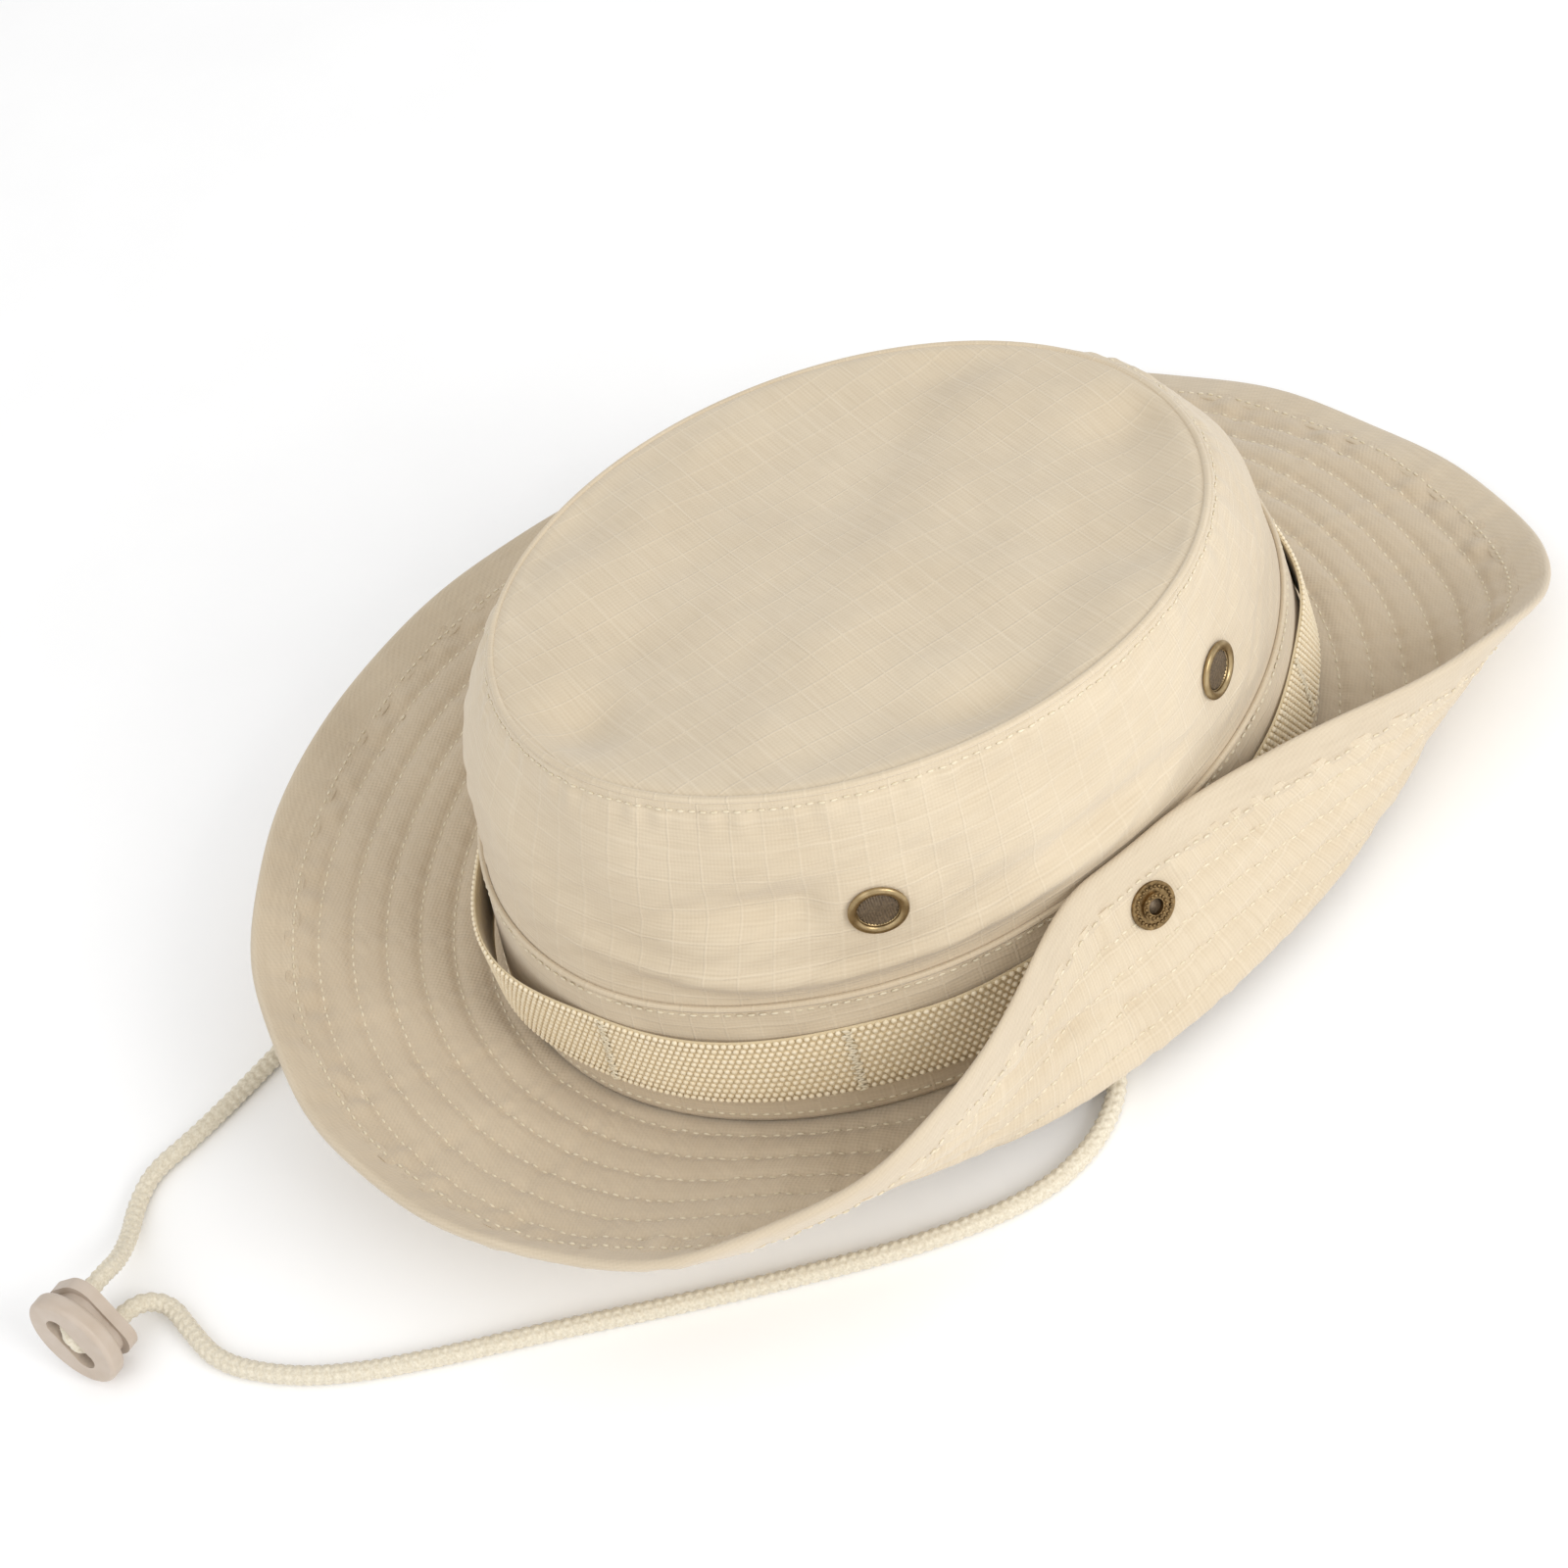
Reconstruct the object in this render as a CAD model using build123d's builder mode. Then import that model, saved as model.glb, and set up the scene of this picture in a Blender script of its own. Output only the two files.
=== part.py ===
"""Boonie hat: soft oval crown, webbing band, quilted brim with one side snapped up, chin cord.

Millimetres. The origin is the centre of the head opening at the crown's base, +Z runs up the
crown, the wearer faces -Y and the wearer's left is +X. A heading is the direction round the
crown in degrees: 0 is the front, 90 the wearer's left, 180 the back and 270 the right.
"""
import math
import os
from functools import lru_cache

from build123d import *

# Head opening and crown
BASE_LONG = 104.0  # half the head oval, front to back
BASE_WIDE = 84.0  # half the head oval, side to side
CLOTH = 1.0  # crown cloth with its facing
WALL_FOOT = 2.0  # the crown cloth starts this far above the brim seam
# Crown levels: height, half length, half width, shift to the left, shift to the back
CROWN_LEVELS = [
    (0.0, 104.0, 84.0, 0.0, 0.0),
    (38.0, 99.0, 79.0, 0.8, 0.5),
    (60.0, 92.5, 80.0, 2.0, 1.2),
    (81.9, 82.0, 76.0, 3.1, 1.9),
]
TOP_TILT_X = 0.12  # rise of the crown top per mm towards the left
TOP_TILT_Y = -0.08  # rise of the crown top per mm towards the back
TOP_SPARE = 30.0  # the wall is made this much too tall before the top plane trims it

# Band, webbing and sweatband
LAYER_GAP = 0.15
BAND_TOP = 37.0
BAND_CLOTH = 0.6
WEBBING_LOW = 9.5
WEBBING_HIGH = 28.5
WEBBING_THICK = 1.2
SWEATBAND_TOP = 34.0
SWEATBAND_THICK = 1.0
SEAM_TAPE_OUT = 0.9
SEAM_TAPE_IN = 3.4
SEAM_TAPE_TOP = 1.1
LABEL_HEIGHTS = (8.0, 26.0)
LABEL_WIDE = 32.0
LABEL_THICK = 0.4

# Brim
BRIM_WIDTH = 62.0
BINDING_WIDTH = 9.3
BINDING_THICK = 2.2
PLY = 0.7
PLY_GAP = 0.05
BRIM_RISE = 6.0  # mean rise of the brim in degrees
BRIM_WAVE = 18.5  # extra rise at the front and droop at the back in degrees
BACK_SAG = 2.0  # extra droop at the back right in degrees
FOLD_TURN = 141.0  # how far the snapped brim turns over at its fold
FOLD_DROP = 32.0  # slope down from the seam to the fold
FOLD_OUT = 13.5  # distance from the seam to the fold at the snap
FOLD_SPREAD = 16.0  # how much further out the fold runs 60 degrees from the snap
FOLD_LENGTH = 11.0  # length of cloth that the fold takes up at the snap
FOLD_SOFT = 24.0  # how much longer the fold gets where it fades out
SNAP_HEADING = 95.0
FRONT_CURL = 30.0  # how far the front rim curls up in degrees
FRONT_LEFT_LIFT = 14.0  # extra rise beside the snapped side's front end in degrees
CURL_WIDTH = 16.0

# Flaps that fold up, as headings
LEFT_FLAP = (72.0, 128.0)
RIGHT_FLAP = (236.0, 304.0)
RIGHT_FOLD_X = -100.0  # the right fold is a straight line front to back
FLAP_GAP = 0.5  # degrees of clearance at each end of a flap
HINGE_GAP = 2.8  # clearance from the right fold line to the cloth on each side
FOLD_GAP = 3.0  # clearance from the left fold line to the flap cloth
STRIP_GAP = 0.1  # degrees of clearance at each end of a fold strip
SIDES = ("left", "right")

# Snaps
SNAP_FROM_RIM = 15.0
SNAP_HEIGHT = 26.2
SNAP_RADIUS = 5.5
STUD_SEAT = CLOTH / 2 + LAYER_GAP + BAND_CLOTH + LAYER_GAP + WEBBING_THICK + LAYER_GAP
STUD_RADIUS = 3.6
STUD_PLATE = 0.5
STUD_KNOB = 1.4
STUD_REACH = 2.2  # from the seat to the knob's tip
SHANK_HOLE = 1.9
POST_RADIUS = 5.2
POST_PLATE = 0.6
POST_SEAT = -CLOTH / 2 - 0.25
POST_HOLE = 5.7
SOCKET_SEAT = PLY_GAP + PLY + 0.2
SOCKET_PLATE = 0.6
SOCKET_BORE = 2.3
CAP_COLLAR = 3.2
CAP_BORE = 1.9
CAP_PLATE = 0.7
COLLAR_RISE = 0.8
KNOB_ROUND = 0.4
CLOTH_HOLE = 2.6  # the hole in the brim for the cap's barrel

# Vents
VENT_HEIGHT = 60.0
VENT_HEADINGS = (61.0, 119.0, 241.0, 299.0)
VENT_OUTER = 6.5
VENT_INNER = 4.1
VENT_BARREL = 4.5
VENT_HOLE = 4.7
VENT_SEAT = 0.75  # underside of the rolled rim, from the middle of the wall
VENT_RIM = 1.0
VENT_BACK = -2.1
WASHER = 0.5
SCREEN = 0.4
VENT_ROUND = 0.45

# Chin cord, its two tabs and its slide lock
CORD_DIAMETER = 4.5
GROUND = -13.6  # the surface that the hat stands on
CORD_Z = GROUND + CORD_DIAMETER / 2
LEG_SPACING = 9.6  # between the two legs of cord in the lock
LOCK_CENTRE = Vector(-9.0, -228.0, -0.3)
LOCK_FRONT = Vector(0.5, -0.85, 0.19).normalized()
LOCK_DOWN = Vector(0.53, 0.125, -0.839)  # towards the lower leg of cord
LOCK_LONG = 12.5
LOCK_WIDE = 10.0
LOCK_FLANGE = 4.5
LOCK_NECK = (18.0, 13.0, 2.5)
LOCK_BACK = (21.0, 15.0, 3.0)
LOCK_CORNER = 5.0
LOCK_ROUND = 1.2
LOCK_BORE = CORD_DIAMETER / 2 + 0.35
LEG_EASE = 0.1  # how much wider the straight bores are than the curved one
CROSSING = 0.45  # the cord crosses the slot this far in front of the flange's middle
LEG_END = 15.5  # each leg stays straight to this far behind the flange's middle
TAB_WIDE = 5.4
TAB_LONG = 5.0
RADIUS_SHARE = 0.45  # share of the shorter run that a corner's arc takes


def lock_point(across, ahead):
    """Point in the lock's frame, across towards the lower leg and ahead towards its front."""
    return LOCK_CENTRE + LOCK_DOWN.normalized() * across + LOCK_FRONT * ahead


# The cord's route, from the left tab round the lock to the right tab
CORD_ROUTE = [
    Vector(81.7, -3.0, -6.2),
    Vector(86.0, -8.0, -9.6),
    Vector(95.0, -13.0, CORD_Z),
    Vector(103.0, -26.0, CORD_Z),
    Vector(105.0, -43.0, CORD_Z),
    Vector(98.0, -67.0, CORD_Z),
    Vector(86.0, -92.0, CORD_Z),
    Vector(72.5, -117.5, CORD_Z),
    Vector(57.5, -144.0, CORD_Z),
    Vector(46.5, -165.0, CORD_Z),
    Vector(36.5, -182.0, CORD_Z),
    Vector(26.0, -195.0, CORD_Z),
    Vector(12.0, -205.5, CORD_Z),
    Vector(-0.5, -207.0, CORD_Z),
    Vector(-11.0, -207.5, -10.7),
    lock_point(LEG_SPACING / 2, -LEG_END),
    lock_point(LEG_SPACING / 2, CROSSING),
    lock_point(-LEG_SPACING / 2, CROSSING),
    lock_point(-LEG_SPACING / 2, -LEG_END),
    Vector(-24.5, -212.0, -4.5),
    Vector(-33.0, -207.0, -9.5),
    Vector(-41.5, -202.0, CORD_Z),
    Vector(-47.5, -194.5, CORD_Z),
    Vector(-49.0, -183.0, CORD_Z),
    Vector(-52.5, -168.0, CORD_Z),
    Vector(-58.5, -147.0, CORD_Z),
    Vector(-65.0, -122.0, CORD_Z),
    Vector(-73.5, -97.0, CORD_Z),
    Vector(-83.0, -73.0, CORD_Z),
    Vector(-90.5, -50.0, CORD_Z),
    Vector(-93.0, -32.0, CORD_Z),
    Vector(-90.5, -18.0, -10.8),
    Vector(-86.0, -9.5, -8.9),
    Vector(-82.0, -4.0, -6.2),
]

os.makedirs("parts", exist_ok=True)


def save(part, label):
    """Label one sub-part and write its STEP file."""
    part.label = label
    export_step(part, f"parts/{label}.step")


def smooth_step(value):
    """Ease from 0 to 1."""
    clamped = min(1.0, max(0.0, value))
    return clamped * clamped * (3 - 2 * clamped)


def gate(heading, start, full, full_end, end):
    """Rise from 0 at start to 1 at full, and fall from 1 at full_end to 0 at end."""
    turned = heading % 360
    rise = smooth_step((turned - start) / (full - start))
    fall = smooth_step((end - turned) / (end - full_end))
    return rise * fall


def brim_slope(heading, along):
    """Slope of the brim in degrees, at a distance along it from the seam."""
    turned = heading % 360
    folded = gate(heading, 38, 90, 100, 192)
    rise = BRIM_RISE + BRIM_WAVE * math.cos(math.radians(heading - 5))
    rise += FRONT_LEFT_LIFT * gate(heading, 24, 54, 60, 85)
    rise -= BACK_SAG * gate(heading, 190, 235, 262, 290)
    slope = rise * (1 - folded) * (0.6 + 0.6 * along / BRIM_WIDTH) - FOLD_DROP * folded
    fold_at = FOLD_OUT + FOLD_SPREAD * (abs(turned - SNAP_HEADING) / 60) ** 2
    fold_length = FOLD_LENGTH + FOLD_SOFT * (1 - folded)
    slope += FOLD_TURN * folded * smooth_step((along - fold_at + fold_length / 2) / fold_length)
    front = 0.5 + 0.5 * math.cos(math.radians(heading))
    slope += FRONT_CURL * (1 - folded) * front * smooth_step((along - BRIM_WIDTH + CURL_WIDTH) / CURL_WIDTH)
    return slope


@lru_cache(maxsize=None)
def brim_profile(heading):
    """Outward distance, height and slope of the brim, once per millimetre of its width."""
    steps = int(BRIM_WIDTH)
    outward = 0.0
    height = 0.0
    profile = [(outward, height, brim_slope(heading, 0.0))]
    for step in range(steps):
        slope = math.radians(brim_slope(heading, step + 0.5))
        outward += math.cos(slope)
        height += math.sin(slope)
        profile.append((outward, height, brim_slope(heading, step + 1.0)))
    return profile


def seam_frame(heading):
    """Point of the crown seam and its outward direction, in plan."""
    angle = math.radians(heading)
    foot = Vector(BASE_WIDE * math.sin(angle), -BASE_LONG * math.cos(angle), 0)
    outward = Vector(math.sin(angle) / BASE_WIDE, -math.cos(angle) / BASE_LONG, 0)
    return foot, outward.normalized()


def brim_point(heading, along, offset=0.0):
    """Point of the brim, moved by offset along its upper side's normal."""
    profile = brim_profile(heading)
    index = min(int(along), len(profile) - 2)
    part = along - index
    near, far = profile[index], profile[index + 1]
    outward, height, slope = (a + (b - a) * part for a, b in zip(near, far))
    foot, direction = seam_frame(heading)
    slope = math.radians(slope)
    reach = foot + direction * (outward - offset * math.sin(slope))
    return Vector(reach.X, reach.Y, height + offset * math.cos(slope))


def right_fold(heading):
    """Distance along the brim at which it crosses the right side's straight fold line."""
    low, high = 0.0, BRIM_WIDTH
    for _ in range(20):
        middle = (low + high) / 2
        if brim_point(heading, middle).X > RIGHT_FOLD_X:
            low = middle
        else:
            high = middle
    return low


def left_fold(heading):
    """Distance along the brim to the bottom of the left side's fold."""
    return FOLD_OUT + FOLD_SPREAD * (abs(heading - SNAP_HEADING) / 60) ** 2


def brim_panel(headings, inner, outer, low, high):
    """Closed solid of brim cloth between two headings, two distances and two offsets.

    inner and outer are functions of the heading.
    """
    start, end = headings
    columns = max(10, int((end - start) / 4))
    rows = 24

    def skin(offset):
        """One face of the panel."""
        grid = []
        for column in range(columns + 1):
            heading = start + (end - start) * column / columns
            first, last = inner(heading), outer(heading)
            span = (last - first) / rows
            grid.append([brim_point(heading, first + span * row, offset) for row in range(rows + 1)])
        return Face.make_surface_from_array_of_points(grid, tol=0.02, max_deg=5)

    upper = skin(high)
    lower = skin(low)
    faces = [upper, lower]
    for edge in upper.edges():
        middle = edge @ 0.5
        partner = min(lower.edges(), key=lambda other: (other @ 0.5 - middle).length)
        faces.append(Face.make_surface_from_curves(edge, partner))
    return Solid(Shell(faces))


def seam_line(_heading):
    """Inner edge of the brim cloth."""
    return 0.0


def cloth_line(_heading):
    """Outer edge of the plies, just inside the binding."""
    return BRIM_WIDTH - BINDING_WIDTH - LAYER_GAP


def binding_line(_heading):
    """Inner edge of the binding tape."""
    return BRIM_WIDTH - BINDING_WIDTH


def rim_line(_heading):
    """Outer edge of the brim."""
    return BRIM_WIDTH


def snap_frame(side):
    """Plane through a crown stud's seat, its z pointing out of the crown."""
    heading = SNAP_HEADING if side == "left" else 360 - SNAP_HEADING
    return crown_frame(heading, SNAP_HEIGHT, STUD_SEAT)


def brim_snap_frame(side):
    """Plane on the brim at a snap, its z along the brim's upper side normal."""
    heading = SNAP_HEADING if side == "left" else 360 - SNAP_HEADING
    along = BRIM_WIDTH - SNAP_FROM_RIM
    seat = brim_point(heading, along)
    outwards = brim_point(heading, along + 0.4) - brim_point(heading, along - 0.4)
    sideways = brim_point(heading + 0.4, along) - brim_point(heading - 0.4, along)
    return Plane(seat, x_dir=outwards.normalized(), z_dir=outwards.cross(sideways).normalized())


def cut_shaft(frame, radius, reach):
    """Cut a round hole through the part under construction, reach to each side of the frame."""
    with BuildSketch(frame.offset(-reach)) as hole:
        Circle(radius)
    extrude(hole.sketch, amount=2 * reach, mode=Mode.SUBTRACT)


def make_brim_region(name, headings, inner, outer, snap=None):
    """Write a region's upper and under ply, with the hole for its snap if it has one."""
    layers = (("upper_ply", PLY_GAP, PLY_GAP + PLY), ("under_ply", -PLY_GAP - PLY, -PLY_GAP))
    for layer, low, high in layers:
        with BuildPart() as ply:
            add(brim_panel(headings, inner, outer, low, high))
            if snap:
                cut_shaft(brim_snap_frame(snap), CLOTH_HOLE, 3)
        save(ply.part, f"{name}_{layer}")


def make_binding(name, headings):
    """Write a region's stretch of rim binding, with the ply edges it wraps counted in it."""
    half = BINDING_THICK / 2
    with BuildPart() as binding:
        add(brim_panel(headings, binding_line, rim_line, -half, half))
    save(binding.part, f"{name}_binding")


def inside_ends(headings, clearance):
    """The same stretch of headings, shortened at both ends."""
    return headings[0] + clearance, headings[1] - clearance


def make_brim():
    """Write every brim node: the fixed parts, the two fold strips and the two flaps."""
    front = (RIGHT_FLAP[1], LEFT_FLAP[0] + 360)
    back = (LEFT_FLAP[1], RIGHT_FLAP[0])
    for name, headings in (("brim_front", front), ("brim_back", back)):
        make_brim_region(name, headings, seam_line, cloth_line)
        make_binding(name, headings)
    left_strip = inside_ends(LEFT_FLAP, STRIP_GAP)
    right_strip = inside_ends(RIGHT_FLAP, STRIP_GAP)
    make_brim_region("left_fold_strip", left_strip, seam_line, left_fold)
    make_brim_region("right_fold_strip", right_strip, seam_line, lambda h: right_fold(h) - HINGE_GAP)
    left_flap = inside_ends(LEFT_FLAP, FLAP_GAP)
    right_flap = inside_ends(RIGHT_FLAP, FLAP_GAP)
    make_brim_region("left_flap", left_flap, lambda h: left_fold(h) + FOLD_GAP, cloth_line, "left")
    make_brim_region("right_flap", right_flap, lambda h: right_fold(h) + HINGE_GAP, cloth_line, "right")
    make_binding("left_flap", left_flap)
    make_binding("right_flap", right_flap)


def crown_level(height):
    """Half length, half width and shifts of the crown at a height."""
    for low, high in zip(CROWN_LEVELS, CROWN_LEVELS[1:]):
        if height <= high[0] or high is CROWN_LEVELS[-1]:
            part = (height - low[0]) / (high[0] - low[0])
            return [a + (b - a) * part for a, b in zip(low[1:], high[1:])]
    return list(CROWN_LEVELS[-1][1:])


def crown_frame(heading, height, offset=0.0):
    """Plane on the crown wall, its z pointing outwards, moved out by offset."""
    angle = math.radians(heading)

    def on_wall(at_height):
        """Point of the wall at this heading."""
        long, wide, left, back = crown_level(at_height)
        return Vector(left + wide * math.sin(angle), back - long * math.cos(angle), at_height)

    long, wide, _left, _back = crown_level(height)
    tangent = Vector(wide * math.cos(angle), long * math.sin(angle), 0)
    normal = tangent.cross(on_wall(height + 1) - on_wall(height - 1)).normalized()
    return Plane(on_wall(height) + normal * offset, x_dir=tangent.normalized(), z_dir=normal)


def crown_ring(low, high, inner, outer):
    """Closed ring that follows the crown between two heights and two offsets from its wall."""
    heights = [low] + [level[0] for level in CROWN_LEVELS if low < level[0] < high] + [high]

    def cone(offset):
        """Solid of the crown's outline with an offset."""
        sections = []
        for height in heights:
            long, wide, left, back = crown_level(height)
            with BuildSketch(Plane.XY.offset(height)) as section:
                with Locations((left, back)):
                    Ellipse(wide + offset, long + offset)
            sections.append(section.sketch.face())
        return Solid.make_loft([face.outer_wire() for face in sections], ruled=True)

    return cone(outer) - cone(inner)


def top_plane(offset=0.0):
    """Tilted plane of the crown top."""
    height, _long, _wide, left, back = CROWN_LEVELS[-1]
    normal = Vector(-TOP_TILT_X, -TOP_TILT_Y, 1).normalized()
    return Plane(Vector(left, back, height) + normal * offset, x_dir=(1, 0, TOP_TILT_X), z_dir=normal)


def make_crown():
    """Write the crown wall and its flat top."""
    height, long, wide, _left, _back = CROWN_LEVELS[-1]
    with BuildPart() as crown_wall:
        add(crown_ring(WALL_FOOT, height + TOP_SPARE, -CLOTH / 2, CLOTH / 2))
        split(bisect_by=top_plane(), keep=Keep.BOTTOM)
        for heading in VENT_HEADINGS:
            cut_shaft(crown_frame(heading, VENT_HEIGHT), VENT_HOLE, 4)
        for side in SIDES:
            cut_shaft(snap_frame(side), SHANK_HOLE, 12)
    save(crown_wall.part, "crown_wall")
    with BuildPart() as crown_top:
        with BuildSketch(top_plane(LAYER_GAP)):
            Ellipse(wide + CLOTH / 2, long + CLOTH / 2)
        extrude(amount=CLOTH)
    save(crown_top.part, "crown_top")


def make_bands():
    """Write the crown band, the webbing, the sweatband, the seam tape and the size label."""
    band_in = CLOTH / 2 + LAYER_GAP
    webbing_in = band_in + BAND_CLOTH + LAYER_GAP
    sweat_out = -CLOTH / 2 - LAYER_GAP
    sweat_in = sweat_out - SWEATBAND_THICK
    rings = (
        ("crown_band", WALL_FOOT, BAND_TOP, band_in, band_in + BAND_CLOTH, SHANK_HOLE),
        ("foliage_webbing", WEBBING_LOW, WEBBING_HIGH, webbing_in, webbing_in + WEBBING_THICK, SHANK_HOLE),
        ("sweatband", WALL_FOOT, SWEATBAND_TOP, sweat_in, sweat_out, POST_HOLE),
    )
    for name, low, high, inner, outer, hole in rings:
        with BuildPart() as ring:
            add(crown_ring(low, high, inner, outer))
            for side in SIDES:
                cut_shaft(snap_frame(side), hole, 12)
        save(ring.part, name)
    with BuildPart() as seam_tape:
        add(crown_ring(-SEAM_TAPE_OUT, SEAM_TAPE_TOP, -SEAM_TAPE_IN, -SEAM_TAPE_OUT))
    save(seam_tape.part, "seam_tape")
    label_out = sweat_in - LAYER_GAP
    low, high = LABEL_HEIGHTS
    with BuildPart() as size_label:
        add(crown_ring(low, high, label_out - LABEL_THICK, label_out))
        with Locations((0, BASE_LONG, low)):
            Box(LABEL_WIDE, LABEL_WIDE, 2 * high, mode=Mode.INTERSECT)
    save(size_label.part, "size_label")


def disc(frame, height, outer, amount, inner=0.0):
    """Add a disc or ring that stands on a plane at a height above a frame."""
    with BuildSketch(frame.offset(height)) as outline:
        Circle(outer)
        if inner:
            Circle(inner, mode=Mode.SUBTRACT)
    extrude(outline.sketch, amount=amount)


def make_snap(side):
    """Write one side's four snap pieces: stud and post on the crown, socket and cap on the brim."""
    seat = snap_frame(side)
    with BuildPart() as stud:
        disc(seat, 0, STUD_RADIUS, STUD_PLATE)
        disc(seat, STUD_PLATE, STUD_KNOB, STUD_REACH - STUD_PLATE)
        tip = stud.faces().sort_by(Axis(seat.origin, seat.z_dir))[-1]
        fillet(tip.edges(), KNOB_ROUND)
    save(stud.part, f"{side}_snap_stud")
    with BuildPart() as post:
        disc(seat, POST_SEAT - STUD_SEAT - POST_PLATE, POST_RADIUS, POST_PLATE)
        disc(seat, POST_SEAT - STUD_SEAT, STUD_KNOB, STUD_SEAT - POST_SEAT)
    save(post.part, f"{side}_snap_post")
    hole = brim_snap_frame(side)
    with BuildPart() as socket:
        disc(hole, SOCKET_SEAT, SNAP_RADIUS, SOCKET_PLATE, SOCKET_BORE)
    save(socket.part, f"{side}_snap_socket")
    with BuildPart() as cap:
        disc(hole, -SOCKET_SEAT - CAP_PLATE, SNAP_RADIUS, CAP_PLATE, CAP_BORE)
        disc(hole, -SOCKET_SEAT - CAP_PLATE - COLLAR_RISE, CAP_COLLAR, COLLAR_RISE, CAP_BORE)
        disc(hole, -SOCKET_SEAT, SOCKET_BORE, 2 * SOCKET_SEAT, CAP_BORE)
    save(cap.part, f"{side}_snap_cap")


def make_vents():
    """Write the four eyelets, the four washers behind the cloth and the four woven screens."""
    frames = [crown_frame(heading, VENT_HEIGHT) for heading in VENT_HEADINGS]
    with BuildPart() as vent_eyelets:
        for frame in frames:
            section = Plane(frame.origin, x_dir=frame.x_dir, z_dir=-frame.y_dir)
            with BuildSketch(section):
                with Locations(((VENT_INNER + VENT_OUTER) / 2, VENT_SEAT + VENT_RIM / 2)):
                    Rectangle(VENT_OUTER - VENT_INNER, VENT_RIM)
                fillet(vertices().group_by(Axis(frame.origin, frame.z_dir))[-1], VENT_ROUND)
                barrel_top = VENT_SEAT + VENT_RIM / 2
                with Locations(((VENT_INNER + VENT_BARREL) / 2, (barrel_top + VENT_BACK) / 2)):
                    Rectangle(VENT_BARREL - VENT_INNER, barrel_top - VENT_BACK)
            revolve(axis=Axis(frame.origin, frame.z_dir))
    save(vent_eyelets.part, "vent_eyelets")
    with BuildPart() as vent_washers:
        for frame in frames:
            disc(frame, VENT_BACK, VENT_OUTER, WASHER, VENT_BARREL + 0.1)
    save(vent_washers.part, "vent_washers")
    with BuildPart() as vent_screens:
        for frame in frames:
            disc(frame, 0, VENT_INNER - 0.05, SCREEN)
    save(vent_screens.part, "vent_screens")


def make_cord_tabs():
    """Write the two cloth tabs that hold the cord's ends under the seam."""
    for side, end, following in (("left", 0, 1), ("right", -1, -2)):
        face = Plane(CORD_ROUTE[end], z_dir=CORD_ROUTE[end] - CORD_ROUTE[following])
        with BuildPart() as tab:
            with BuildSketch(face):
                RectangleRounded(TAB_WIDE, TAB_WIDE, TAB_WIDE / 4)
            extrude(amount=TAB_LONG)
        save(tab.part, f"{side}_cord_tab")


def arc_radii(route):
    """Radius of the arc at each corner of a route, as large as its two runs allow."""
    radii = []
    for before, corner, after in zip(route, route[1:], route[2:]):
        turn = (corner - before).get_angle(after - corner)
        shorter = min((corner - before).length, (after - corner).length)
        radii.append(RADIUS_SHARE * shorter / math.tan(math.radians(turn / 2)))
    return radii


def make_chin_cord():
    """Write the cord and report its radii, its length and its volume."""
    radii = arc_radii(CORD_ROUTE)
    with BuildPart() as chin_cord:
        with BuildLine() as path:
            middle = FilletPolyline(*CORD_ROUTE, radius=radii)
        with BuildSketch(Plane(middle @ 0, z_dir=middle % 0)):
            Circle(CORD_DIAMETER / 2)
        sweep(path=path.line)
    length = middle.length
    section = math.pi * CORD_DIAMETER**2 / 4
    print("cord radii:", [round(radius, 1) for radius in radii])
    print(f"cord length {length:.1f}, volume {chin_cord.part.volume:.0f}, expected {length * section:.0f}")
    save(chin_cord.part, "chin_cord")


def make_cord_lock():
    """Write the slide lock: an oval flange with a slot, a neck and a back, bored for the cord."""
    middle = Plane(LOCK_CENTRE, x_dir=LOCK_DOWN, z_dir=LOCK_FRONT)
    legs = [
        lock_point(LEG_SPACING / 2, -LEG_END),
        lock_point(LEG_SPACING / 2, CROSSING),
        lock_point(-LEG_SPACING / 2, CROSSING),
        lock_point(-LEG_SPACING / 2, -LEG_END),
    ]
    with BuildPart() as cord_lock:
        with BuildSketch(middle.offset(-LOCK_FLANGE / 2)):
            Ellipse(LOCK_LONG, LOCK_WIDE)
        extrude(amount=LOCK_FLANGE)
        fillet(cord_lock.edges().filter_by(GeomType.ELLIPSE), LOCK_ROUND)
        depth = -LOCK_FLANGE / 2
        for long, wide, thick in (LOCK_NECK, LOCK_BACK):
            with BuildSketch(middle.offset(depth - thick)):
                RectangleRounded(long, wide, LOCK_CORNER)
            extrude(amount=thick)
            depth -= thick
        with BuildSketch(middle.offset(CROSSING)):
            SlotOverall(LEG_SPACING + 2 * LOCK_BORE, 2 * LOCK_BORE)
        extrude(amount=LOCK_FLANGE, mode=Mode.SUBTRACT)
        with BuildLine() as path:
            middle_line = FilletPolyline(*legs, radius=arc_radii(legs))
        with BuildSketch(Plane(middle_line @ 0, z_dir=middle_line % 0)):
            Circle(LOCK_BORE)
        sweep(path=path.line, mode=Mode.SUBTRACT)
        with BuildSketch(middle.offset(-LOCK_FLANGE)):
            with Locations((LEG_SPACING / 2, 0), (-LEG_SPACING / 2, 0)):
                Circle(LOCK_BORE + LEG_EASE)
        extrude(amount=2 * LOCK_FLANGE, mode=Mode.SUBTRACT)
    save(cord_lock.part, "cord_lock")


make_brim()
make_crown()
make_bands()
for snap_side in SIDES:
    make_snap(snap_side)
make_vents()
make_cord_tabs()
make_chin_cord()
make_cord_lock()
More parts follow.
